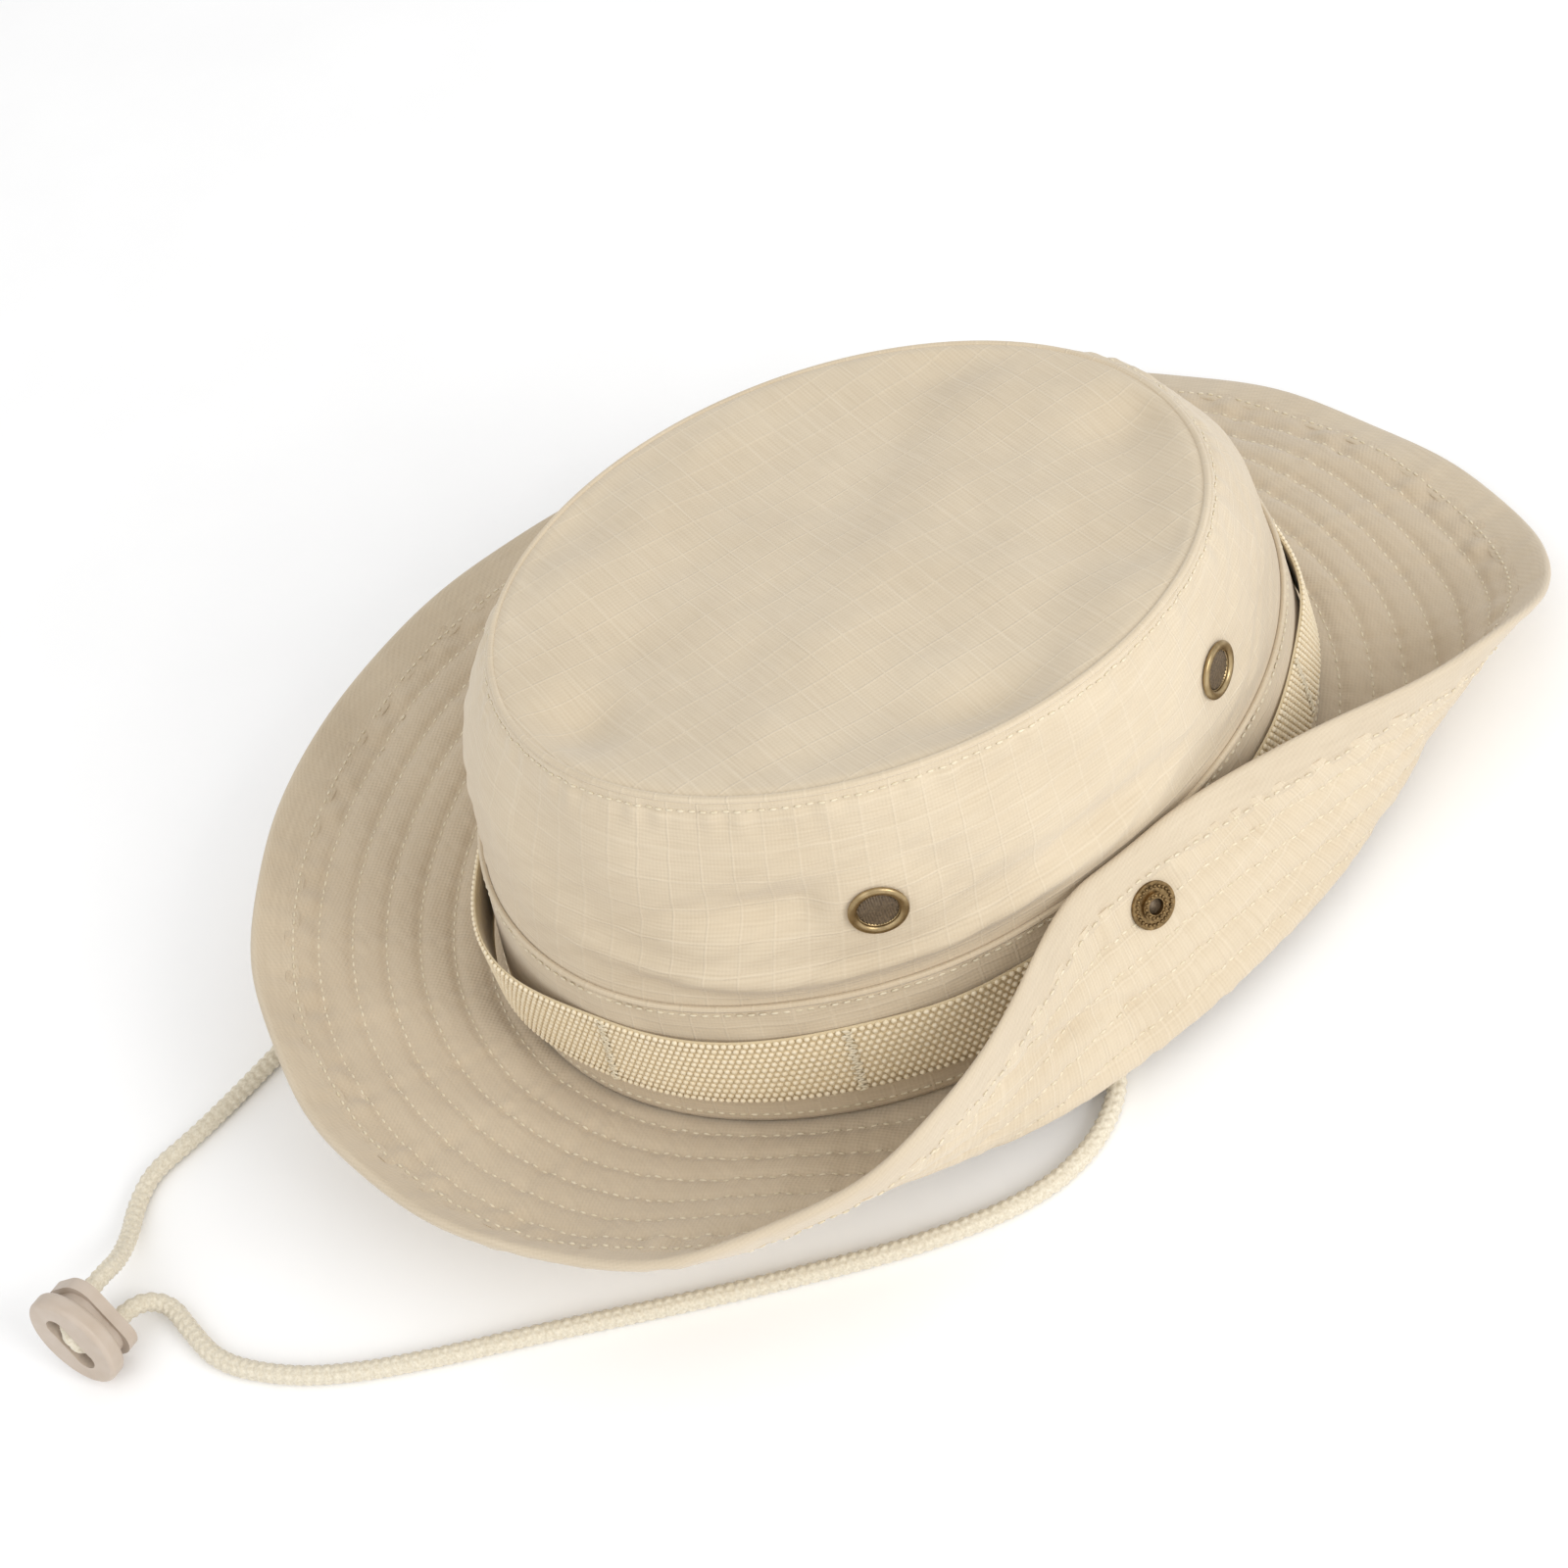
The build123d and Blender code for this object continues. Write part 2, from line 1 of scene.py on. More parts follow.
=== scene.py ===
"""Boonie hat: the sewn cloth, webbing, stitches, brass trim and chin cord round its fixed frame.

Lengths are in millimetres while a shape is worked out and in metres once it is a mesh. A heading
is the direction round the crown in degrees: 0 is the front, 90 the wearer's left, 180 the back.
"""
import logging
import math
from dataclasses import dataclass, field
from enum import Enum

import bpy
import numpy as np
from mathutils import Matrix, Vector


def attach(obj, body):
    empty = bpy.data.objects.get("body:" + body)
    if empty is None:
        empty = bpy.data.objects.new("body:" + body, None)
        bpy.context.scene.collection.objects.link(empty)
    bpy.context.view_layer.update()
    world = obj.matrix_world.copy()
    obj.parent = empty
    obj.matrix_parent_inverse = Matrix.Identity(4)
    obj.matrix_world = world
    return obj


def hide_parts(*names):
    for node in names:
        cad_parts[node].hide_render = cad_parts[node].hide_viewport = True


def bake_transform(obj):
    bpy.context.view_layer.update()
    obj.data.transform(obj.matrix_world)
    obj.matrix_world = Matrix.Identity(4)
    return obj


log = logging.getLogger("boonie_hat")
MM = 0.001
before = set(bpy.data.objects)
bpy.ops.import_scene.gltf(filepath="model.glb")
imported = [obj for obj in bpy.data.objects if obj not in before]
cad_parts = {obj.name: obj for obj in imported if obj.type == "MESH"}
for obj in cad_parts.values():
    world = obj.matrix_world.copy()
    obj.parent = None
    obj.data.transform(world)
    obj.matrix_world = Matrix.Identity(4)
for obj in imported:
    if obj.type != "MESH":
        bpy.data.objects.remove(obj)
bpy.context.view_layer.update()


def linear(colour: str) -> tuple[float, float, float, float]:
    """Turn an sRGB hex colour such as "#d9ccb4" into linear values.

    Args:
        colour: The hex colour, with its hash sign.

    Returns:
        Red, green and blue from 0 to 1, and an alpha of 1.
    """
    parts = [int(colour[i : i + 2], 16) / 255 for i in (1, 3, 5)]
    flat = [p / 12.92 if p <= 0.04045 else ((p + 0.055) / 1.055) ** 2.4 for p in parts]
    return flat[0], flat[1], flat[2], 1.0


def add_node(tree: bpy.types.NodeTree, kind: str, links: dict | None = None, **settings) -> bpy.types.Node:
    """Add a node with its settings, input values and links.

    Args:
        tree: The node tree that takes the node.
        kind: The node's type name.
        links: Input names or indices, each with a value or with the socket that feeds it.
        **settings: The node's own properties.

    Returns:
        The new node.
    """
    node = tree.nodes.new(kind)
    for name, value in settings.items():
        setattr(node, name, value)
    for key, value in (links or {}).items():
        if isinstance(value, bpy.types.NodeSocket):
            tree.links.new(value, node.inputs[key])
        else:
            node.inputs[key].default_value = value
    return node


def smooth(value: np.ndarray | float) -> np.ndarray:
    """Ease from 0 to 1."""
    clamped = np.clip(value, 0.0, 1.0)
    return clamped * clamped * (3 - 2 * clamped)


def gate(heading: np.ndarray, start: float, full: float, full_end: float, end: float) -> np.ndarray:
    """Rise from 0 at start to 1 at full, and fall from 1 at full_end to 0 at end."""
    turned = np.mod(heading, 360.0)
    return smooth((turned - start) / (full - start)) * smooth((end - turned) / (end - full_end))


def ripple(position: np.ndarray, waves: tuple[tuple[float, float], ...]) -> np.ndarray:
    """Sum sine waves along a position.

    Args:
        position: Place of each point, in degrees.
        waves: Count per turn of 360 and phase in radians of each wave.

    Returns:
        The mean of the waves, from -1 to 1.
    """
    total = np.zeros_like(np.asarray(position, float))
    for count, phase in waves:
        total = total + np.sin(np.radians(position) * count + phase)
    return total / len(waves)


# ---------------------------------------------------------------- finishes


@dataclass(frozen=True)
class Cloth:
    """A woven cotton finish, drawn on the piece's own UV map, which is in metres of cloth."""

    name: str
    colour: str
    shade: str
    thread: float = 0.9
    grid: float = 0.0
    diagonal: float = 0.0
    relief: float = 0.05
    wrinkle: float = 0.35
    roughness: float = 0.9
    sheen: float = 0.25

    def make(self) -> bpy.types.Material:
        """Build the material.

        Returns:
            The finished material.
        """
        material = bpy.data.materials.new(self.name)
        material.use_nodes = True
        tree = material.node_tree
        shader = tree.nodes["Principled BSDF"]
        uv = add_node(tree, "ShaderNodeUVMap", uv_map="cloth")
        place = add_node(tree, "ShaderNodeVectorMath", {0: uv.outputs[0], "Scale": 1 / MM}, operation="SCALE")
        turned = add_node(tree, "ShaderNodeVectorRotate", {"Vector": place.outputs[0], "Angle": self.diagonal})
        axes = add_node(tree, "ShaderNodeSeparateXYZ", {0: turned.outputs[0]})
        slub = add_node(tree, "ShaderNodeTexNoise", {"Vector": place.outputs[0], "Scale": 0.35, "Detail": 2.0})
        stretched = add_node(tree, "ShaderNodeVectorMath", {0: place.outputs[0], 1: (0.07, 1.6, 1.0)},
                             operation="MULTIPLY")
        streak = add_node(tree, "ShaderNodeTexNoise", {"Vector": stretched.outputs[0], "Scale": 1.0, "Detail": 2.0})
        ribs = []
        for axis, weight in ((0, 0.4), (1, 0.6)):
            phase = add_node(tree, "ShaderNodeMath", {0: axes.outputs[axis], 1: math.tau / self.thread},
                             operation="MULTIPLY")
            wave = add_node(tree, "ShaderNodeMath", {0: phase.outputs[0]}, operation="SINE")
            ribs.append(add_node(tree, "ShaderNodeMath", {0: wave.outputs[0], 1: weight}, operation="MULTIPLY"))
        weave = add_node(tree, "ShaderNodeMath", {0: ribs[0].outputs[0], 1: ribs[1].outputs[0]}, operation="ADD")
        slubbed = add_node(tree, "ShaderNodeMath", {0: weave.outputs[0], 1: slub.outputs[0]}, operation="MULTIPLY")
        height, tint = slubbed, slubbed
        if self.grid:
            height, tint = self.ripstop(tree, axes, slubbed)
        patch = add_node(tree, "ShaderNodeTexNoise", {"Vector": place.outputs[0], "Scale": 0.03, "Detail": 3.0})
        worn = add_node(tree, "ShaderNodeMath", {0: streak.outputs[0], 1: 0.9, 2: patch.outputs[0]},
                        operation="MULTIPLY_ADD")
        shading = add_node(tree, "ShaderNodeMath", {0: tint.outputs[0], 1: 0.3, 2: worn.outputs[0]},
                           operation="MULTIPLY_ADD")
        shading = add_node(tree, "ShaderNodeMath", {0: shading.outputs[0], 1: 0.45}, operation="SUBTRACT")
        mix = add_node(tree, "ShaderNodeMix", {0: shading.outputs[0], 6: linear(self.shade), 7: linear(self.colour)},
                       data_type="RGBA")
        tree.links.new(mix.outputs[2], shader.inputs["Base Color"])
        crumple = add_node(tree, "ShaderNodeTexNoise", {"Vector": place.outputs[0], "Scale": 0.06, "Detail": 2.0,
                                                        "Roughness": 0.4})
        soft = add_node(tree, "ShaderNodeBump", {"Height": crumple.outputs[0], "Distance": 4 * MM,
                                                 "Strength": self.wrinkle})
        bump = add_node(tree, "ShaderNodeBump", {"Height": height.outputs[0], "Distance": self.relief * MM,
                                                 "Strength": 1.0, "Normal": soft.outputs[0]})
        tree.links.new(bump.outputs[0], shader.inputs["Normal"])
        shader.inputs["Roughness"].default_value = self.roughness
        shader.inputs["Sheen Weight"].default_value = self.sheen
        shader.inputs["Sheen Roughness"].default_value = 0.6
        shader.inputs["Specular IOR Level"].default_value = 0.2
        return material

    def ripstop(self, tree: bpy.types.NodeTree, axes: bpy.types.Node, weave: bpy.types.Node) -> tuple:
        """Add the raised reinforcing threads of a ripstop weave.

        Args:
            tree: The material's node tree.
            axes: The node that gives the place on the cloth in millimetres.
            weave: The plain weave's height.

        Returns:
            The nodes that give the height and the tint.
        """
        lines = []
        for axis in (0, 1):
            fold = add_node(tree, "ShaderNodeMath", {0: axes.outputs[axis], 1: self.grid / 2}, operation="PINGPONG")
            lines.append(add_node(tree, "ShaderNodeMapRange", {0: fold.outputs[0], 1: 0.12, 2: 0.42, 3: 1.0, 4: 0.0}))
        grid = add_node(tree, "ShaderNodeMath", {0: lines[0].outputs[0], 1: lines[1].outputs[0]},
                        operation="MAXIMUM")
        height = add_node(tree, "ShaderNodeMath", {0: grid.outputs[0], 1: 1.5, 2: weave.outputs[0]},
                          operation="MULTIPLY_ADD")
        tint = add_node(tree, "ShaderNodeMath", {0: grid.outputs[0], 1: 1.0, 2: weave.outputs[0]},
                        operation="MULTIPLY_ADD")
        return height, tint


@dataclass(frozen=True)
class Solid:
    """A finish with a noisy colour and a fine bump on Object coordinates."""

    name: str
    colour: str
    shade: str
    roughness: float
    metallic: float = 0.0
    grain: float = 1.5
    relief: float = 0.03
    sheen: float = 0.0

    def make(self) -> bpy.types.Material:
        """Build the material.

        Returns:
            The finished material.
        """
        material = bpy.data.materials.new(self.name)
        material.use_nodes = True
        tree = material.node_tree
        shader = tree.nodes["Principled BSDF"]
        place = add_node(tree, "ShaderNodeTexCoord")
        noise = add_node(tree, "ShaderNodeTexNoise", {"Vector": place.outputs["Object"],
                                                      "Scale": 1 / (self.grain * MM), "Detail": 4.0})
        spread = add_node(tree, "ShaderNodeMapRange", {0: noise.outputs[0], 1: 0.3, 2: 0.7})
        mix = add_node(tree, "ShaderNodeMix", {0: spread.outputs[0], 6: linear(self.shade), 7: linear(self.colour)},
                       data_type="RGBA")
        tree.links.new(mix.outputs[2], shader.inputs["Base Color"])
        bump = add_node(tree, "ShaderNodeBump", {"Height": noise.outputs[0], "Distance": self.relief * MM,
                                                 "Strength": 1.0})
        tree.links.new(bump.outputs[0], shader.inputs["Normal"])
        shader.inputs["Roughness"].default_value = self.roughness
        shader.inputs["Metallic"].default_value = self.metallic
        shader.inputs["Sheen Weight"].default_value = self.sheen
        return material


@dataclass
class Wardrobe:
    """Every finish of the hat, made once."""

    # Ripstop cotton: fine plain weave with raised square threads every 8 mm, matt and pale khaki
    ripstop: bpy.types.Material = field(init=False)
    # Cotton twill of the brim's upper side: diagonal ribs, a little darker
    twill: bpy.types.Material = field(init=False)
    # Bias tape of the same cotton, cut at an angle
    tape: bpy.types.Material = field(init=False)
    # Polyester webbing ground, cream with a beaded basket weave on top
    webbing: bpy.types.Material = field(init=False)
    # Webbing yarn: round soft floats with a little gloss
    yarn: bpy.types.Material = field(init=False)
    # Polyester sewing thread, slightly lighter than the cloth and slightly glossy
    thread: bpy.types.Material = field(init=False)
    # Cotton sweatband, smoother and a little darker all over
    sweatband: bpy.types.Material = field(init=False)
    # Woven label tape, off-white and blank
    label: bpy.types.Material = field(init=False)
    # Antique brass: dark stain in the low places and worn brass on the high ones
    brass: bpy.types.Material = field(init=False)
    # The same brass on the snaps, stained darker between its beads
    snap_brass: bpy.types.Material = field(init=False)
    # Dark brown wire mesh behind the vents
    mesh: bpy.types.Material = field(init=False)
    # Knitted polyester cord, cream
    cord: bpy.types.Material = field(init=False)
    # Moulded polypropylene, pinkish beige with a satin skin
    plastic: bpy.types.Material = field(init=False)

    def __post_init__(self) -> None:
        """Make the materials."""
        self.ripstop = Cloth("ripstop_cotton_woven", "#d6c7ae", "#c5b499", grid=8.0, wrinkle=0.3).make()
        self.twill = Cloth("cotton_twill_woven", "#cdbda4", "#bcab92", diagonal=0.8, relief=0.06).make()
        self.tape = Cloth("cotton_bias_tape_woven", "#d0c1a9", "#c0b097", diagonal=0.35, wrinkle=0.2).make()
        self.webbing = Cloth("polyester_webbing_ground", "#decdab", "#cbb791", thread=1.6, wrinkle=0.1).make()
        self.yarn = Solid("polyester_webbing_yarn", "#f4e8cf", "#e9d9b8", 0.6, grain=1.2, sheen=0.2).make()
        self.thread = Solid("polyester_sewing_thread", "#e3d8c0", "#d2c5a8", 0.6, grain=2.0, sheen=0.2).make()
        self.sweatband = Cloth("sweatband_cotton_woven", "#c2b59e", "#afa189", thread=0.8).make()
        self.label = Cloth("label_tape_satin_woven", "#efeae0", "#e0d8c8", thread=0.7, wrinkle=0.1).make()
        self.brass = Solid("antique_brass_stained", "#b5a07a", "#917b57", 0.36, metallic=1.0, grain=2.5,
                           relief=0.03).make()
        self.snap_brass = Solid("antique_brass_stained_dark", "#9c825b", "#645136", 0.4, metallic=1.0, grain=1.2,
                                relief=0.05).make()
        self.mesh = Solid("vent_wire_stained", "#7a6953", "#584b3c", 0.5, metallic=0.4, grain=0.6).make()
        self.cord = Solid("knitted_polyester_cord", "#e4dcc9", "#cec3ac", 0.75, grain=0.6, relief=0.02,
                          sheen=0.3).make()
        self.plastic = Solid("moulded_polypropylene", "#c2b4a6", "#b9a998", 0.42, grain=6.0, relief=0.02).make()


# ---------------------------------------------------------------- meshes


def make_piece(name: str, points: np.ndarray, faces: list, material: bpy.types.Material) -> bpy.types.Object:
    """Make an object with smooth shading and put it in the scene.

    Args:
        name: The piece's name.
        points: Its vertices, in millimetres.
        faces: The indices of each face's corners.
        material: The finish.

    Returns:
        The new object.
    """
    mesh = bpy.data.meshes.new(name)
    mesh.from_pydata((points.reshape(-1, 3) * MM).tolist(), [], faces)
    mesh.polygons.foreach_set("use_smooth", np.ones(len(mesh.polygons), bool))
    mesh.materials.append(material)
    mesh.update()
    piece = bpy.data.objects.new(name, mesh)
    bpy.context.scene.collection.objects.link(piece)
    return piece


def lay_out(piece: bpy.types.Object, uv: np.ndarray) -> None:
    """Give a piece its place on the cloth, in millimetres for each face corner."""
    layer = piece.data.uv_layers.new(name="cloth")
    layer.data.foreach_set("uv", (uv * MM).astype(np.float32).ravel())


def enter(piece: bpy.types.Object, slot: str, *nodes: str) -> bpy.types.Object:
    """Hide the frame's nodes that a piece replaces.

    Args:
        piece: The finished piece.
        slot: Not used.
        *nodes: The nodes it stands for.

    Returns:
        The same piece.
    """
    if nodes:
        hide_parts(*nodes)
    return piece


def cloth_mesh(name: str, points: np.ndarray, inner: np.ndarray, uv: np.ndarray, material: bpy.types.Material,
               normals: np.ndarray | None = None, wrap: bool = False) -> bpy.types.Object:
    """Make a closed shell of cloth from an outer and an inner grid of points.

    Args:
        name: The piece's name.
        points: Outer side, columns by rows by 3, in millimetres, seen from outside with columns
            running right and rows running up.
        inner: Inner side, of the same shape.
        uv: Place on the cloth for each point, in millimetres.
        material: The finish.
        normals: Outer normals, so that neighbouring pieces shade as one.
        wrap: Whether the last column meets the first.

    Returns:
        The new object.
    """
    columns, rows = points.shape[:2]
    count = columns * rows
    grid = np.arange(count).reshape(columns, rows)
    if wrap:
        grid = np.vstack([grid, grid[:1]])
    low, high = grid[:-1, :-1], grid[:-1, 1:]
    far_low, far_high = grid[1:, :-1], grid[1:, 1:]
    outer = np.stack([low, far_low, far_high, high], -1).reshape(-1, 4)
    faces = [outer, outer[:, ::-1] + count]
    edges = [(grid[:-1, 0], grid[1:, 0]), (grid[1:, -1], grid[:-1, -1])]
    if not wrap:
        edges += [(grid[0, 1:], grid[0, :-1]), (grid[-1, :-1], grid[-1, 1:])]
    faces += [np.stack([second, first, first + count, second + count], -1) for first, second in edges]
    corners = np.concatenate(faces)
    piece = make_piece(name, np.concatenate([points.reshape(-1, 3), inner.reshape(-1, 3)]), corners.tolist(), material)
    flat = uv.reshape(-1, 2)
    values = np.concatenate([flat, flat])[corners.ravel()]
    if wrap:
        around = values[:, 0].reshape(-1, 4)
        length = flat[:, 0].max() * columns / (columns - 1)
        around[(around.max(1) - around.min(1) > length / 2)[:, None] & (around < length / 2)] += length
        values[:, 0] = around.ravel()
    lay_out(piece, values)
    if normals is not None:
        corner = np.concatenate([normals.reshape(-1, 3), -normals.reshape(-1, 3)])[corners.ravel()]
        rim = len(corners) - 2 * len(outer)
        corner[-4 * rim :] = np.repeat(np.array([p.normal for p in piece.data.polygons[-rim:]]), 4, axis=0)
        piece.data.normals_split_custom_set(corner.tolist())
    return piece


def grid_normals(points: np.ndarray) -> np.ndarray:
    """Unit normals of a grid of points, from the differences between its neighbours."""
    normal = np.cross(np.gradient(points, axis=0), np.gradient(points, axis=1))
    return normal / np.linalg.norm(normal, axis=-1, keepdims=True)


class Bead(Enum):
    """Shape of one repeated piece of thread."""

    ROUND = "round"
    ROD = "rod"


@dataclass
class ThreadWork:
    """Geometry Nodes that lay one bead of thread on each point of a mesh."""

    bead: Bead
    sides: int = 6

    def tree(self) -> bpy.types.NodeTree:
        """Build the node tree.

        Returns:
            A tree that reads the attributes along, up and reach of each point.
        """
        tree = bpy.data.node_groups.new(f"thread_{self.bead.value}", "GeometryNodeTree")
        face = tree.interface
        face.new_socket("Geometry", in_out="INPUT", socket_type="NodeSocketGeometry")
        for name, value in (("Width", 0.5), ("Height", 0.4), ("Unevenness", 0.1)):
            face.new_socket(name, in_out="INPUT", socket_type="NodeSocketFloat").default_value = value
        face.new_socket("Seed", in_out="INPUT", socket_type="NodeSocketInt").default_value = 7
        face.new_socket("Material", in_out="INPUT", socket_type="NodeSocketMaterial")
        face.new_socket("Geometry", in_out="OUTPUT", socket_type="NodeSocketGeometry")
        given = add_node(tree, "NodeGroupInput")
        along = add_node(tree, "GeometryNodeInputNamedAttribute", {0: "along"}, data_type="FLOAT_VECTOR")
        upward = add_node(tree, "GeometryNodeInputNamedAttribute", {0: "up"}, data_type="FLOAT_VECTOR")
        reach = add_node(tree, "GeometryNodeInputNamedAttribute", {0: "reach"}, data_type="FLOAT")
        turn = add_node(tree, "FunctionNodeAxesToRotation", {0: along.outputs[0], 1: upward.outputs[0]},
                        primary_axis="X", secondary_axis="Z")
        if self.bead is Bead.ROUND:
            shape = add_node(tree, "GeometryNodeMeshUVSphere", {"Segments": self.sides, "Rings": 4, "Radius": 0.5})
            ready = shape.outputs[0]
        else:
            shape = add_node(tree, "GeometryNodeMeshCylinder", {"Vertices": self.sides, "Radius": 0.5, "Depth": 1.0})
            level = add_node(tree, "GeometryNodeTransform", {0: shape.outputs[0],
                                                             "Rotation": (0.0, math.pi / 2, 0.0)})
            ready = level.outputs[0]
        random = add_node(tree, "FunctionNodeRandomValue", {2: -1.0, 3: 1.0, "Seed": given.outputs["Seed"]},
                          data_type="FLOAT")
        vary = add_node(tree, "ShaderNodeMath", {0: random.outputs[1], 1: given.outputs["Unevenness"], 2: 1.0},
                        operation="MULTIPLY_ADD")
        wide = add_node(tree, "ShaderNodeMath", {0: vary.outputs[0], 1: given.outputs["Width"]},
                        operation="MULTIPLY")
        size = add_node(tree, "ShaderNodeCombineXYZ", {0: reach.outputs[0], 1: wide.outputs[0],
                                                       2: given.outputs["Height"]})
        place = add_node(tree, "GeometryNodeInstanceOnPoints", {"Points": given.outputs["Geometry"],
                                                                "Instance": ready, "Rotation": turn.outputs[0],
                                                                "Scale": size.outputs[0]})
        real = add_node(tree, "GeometryNodeRealizeInstances", {0: place.outputs[0]})
        shaded = add_node(tree, "GeometryNodeSetShadeSmooth", {0: real.outputs[0]})
        dressed = add_node(tree, "GeometryNodeSetMaterial", {0: shaded.outputs[0],
                                                             "Material": given.outputs["Material"]})
        add_node(tree, "NodeGroupOutput", {0: dressed.outputs[0]})
        return tree

    def lay(self, name: str, points: np.ndarray, along: np.ndarray, upward: np.ndarray, reach: np.ndarray | float,
            width: float, height: float, material: bpy.types.Material, unevenness: float = 0.1) -> bpy.types.Object:
        """Lay a bead on each point and return the result as a plain mesh.

        Args:
            name: The piece's name.
            points: Middles of the beads, in millimetres.
            along: Direction of each bead's length.
            upward: Direction that each bead's top faces.
            reach: Length of the beads, in millimetres.
            width: Width of a bead, in millimetres.
            height: Height of a bead, in millimetres.
            material: The finish.
            unevenness: How much the widths differ, as a share.

        Returns:
            The new object.
        """
        seeds = bpy.data.meshes.new(name + "_seeds")
        seeds.from_pydata((points * MM).tolist(), [], [])
        for label, values in (("along", along), ("up", upward)):
            layer = seeds.attributes.new(label, "FLOAT_VECTOR", "POINT")
            layer.data.foreach_set("vector", np.asarray(values, np.float32).ravel())
        layer = seeds.attributes.new("reach", "FLOAT", "POINT")
        layer.data.foreach_set("value", (np.ones(len(points)) * reach * MM).astype(np.float32))
        carrier = bpy.data.objects.new(name + "_seeds", seeds)
        bpy.context.scene.collection.objects.link(carrier)
        tree = self.tree()
        modifier = carrier.modifiers.new("thread", "NODES")
        modifier.node_group = tree
        sockets = {item.name: item.identifier for item in tree.interface.items_tree if item.in_out == "INPUT"}
        modifier[sockets["Width"]] = width * MM
        modifier[sockets["Height"]] = height * MM
        modifier[sockets["Unevenness"]] = unevenness
        modifier[sockets["Material"]] = material
        bpy.context.view_layer.update()
        graph = bpy.context.evaluated_depsgraph_get()
        mesh = bpy.data.meshes.new_from_object(carrier.evaluated_get(graph))
        mesh.name = name
        bpy.data.objects.remove(carrier)
        if not mesh.materials:
            mesh.materials.append(material)
        piece = bpy.data.objects.new(name, mesh)
        bpy.context.scene.collection.objects.link(piece)
        return piece


def stitch_row(surface: np.ndarray, upward: np.ndarray, pitch: float, share: float, lift: float) -> tuple:
    """Spread stitches evenly along a line of points.

    Args:
        surface: Points of the line, in millimetres.
        upward: Normal at each point.
        pitch: Distance from stitch to stitch, in millimetres.
        share: Part of the pitch that shows as thread.
        lift: How far the stitches stand off the cloth.

    Returns:
        Middles, directions, normals and lengths of the stitches.
    """
    steps = np.linalg.norm(np.diff(surface, axis=0), axis=1)
    run = np.concatenate([[0.0], np.cumsum(steps)])
    count = max(2, int(run[-1] / pitch))
    at = (np.arange(count) + 0.5) * run[-1] / count
    middle = np.stack([np.interp(at, run, surface[:, i]) for i in range(3)], -1)
    normal = np.stack([np.interp(at, run, upward[:, i]) for i in range(3)], -1)
    ahead = np.stack([np.interp(at + pitch / 4, run, surface[:, i]) for i in range(3)], -1)
    behind = np.stack([np.interp(at - pitch / 4, run, surface[:, i]) for i in range(3)], -1)
    along = ahead - behind
    along /= np.linalg.norm(along, axis=1, keepdims=True) + 1e-9
    return middle + normal * lift, along, normal, np.full(count, pitch * share)


def gather(rows: list[tuple]) -> tuple:
    """Join the arrays of several stitch rows."""
    return tuple(np.concatenate(parts) for parts in zip(*rows))


# ---------------------------------------------------------------- the hat's shape


def bump_at(value: np.ndarray, middle: float, width: float) -> np.ndarray:
    """Bell curve of height 1 round a middle."""
    return np.exp(-(((value - middle) / width) ** 2))


def bump_round(heading: np.ndarray, middle: float, width: float) -> np.ndarray:
    """Bell curve of height 1 round a heading, on the circle."""
    away = np.mod(heading - middle + 180.0, 360.0) - 180.0
    return np.exp(-((away / width) ** 2))


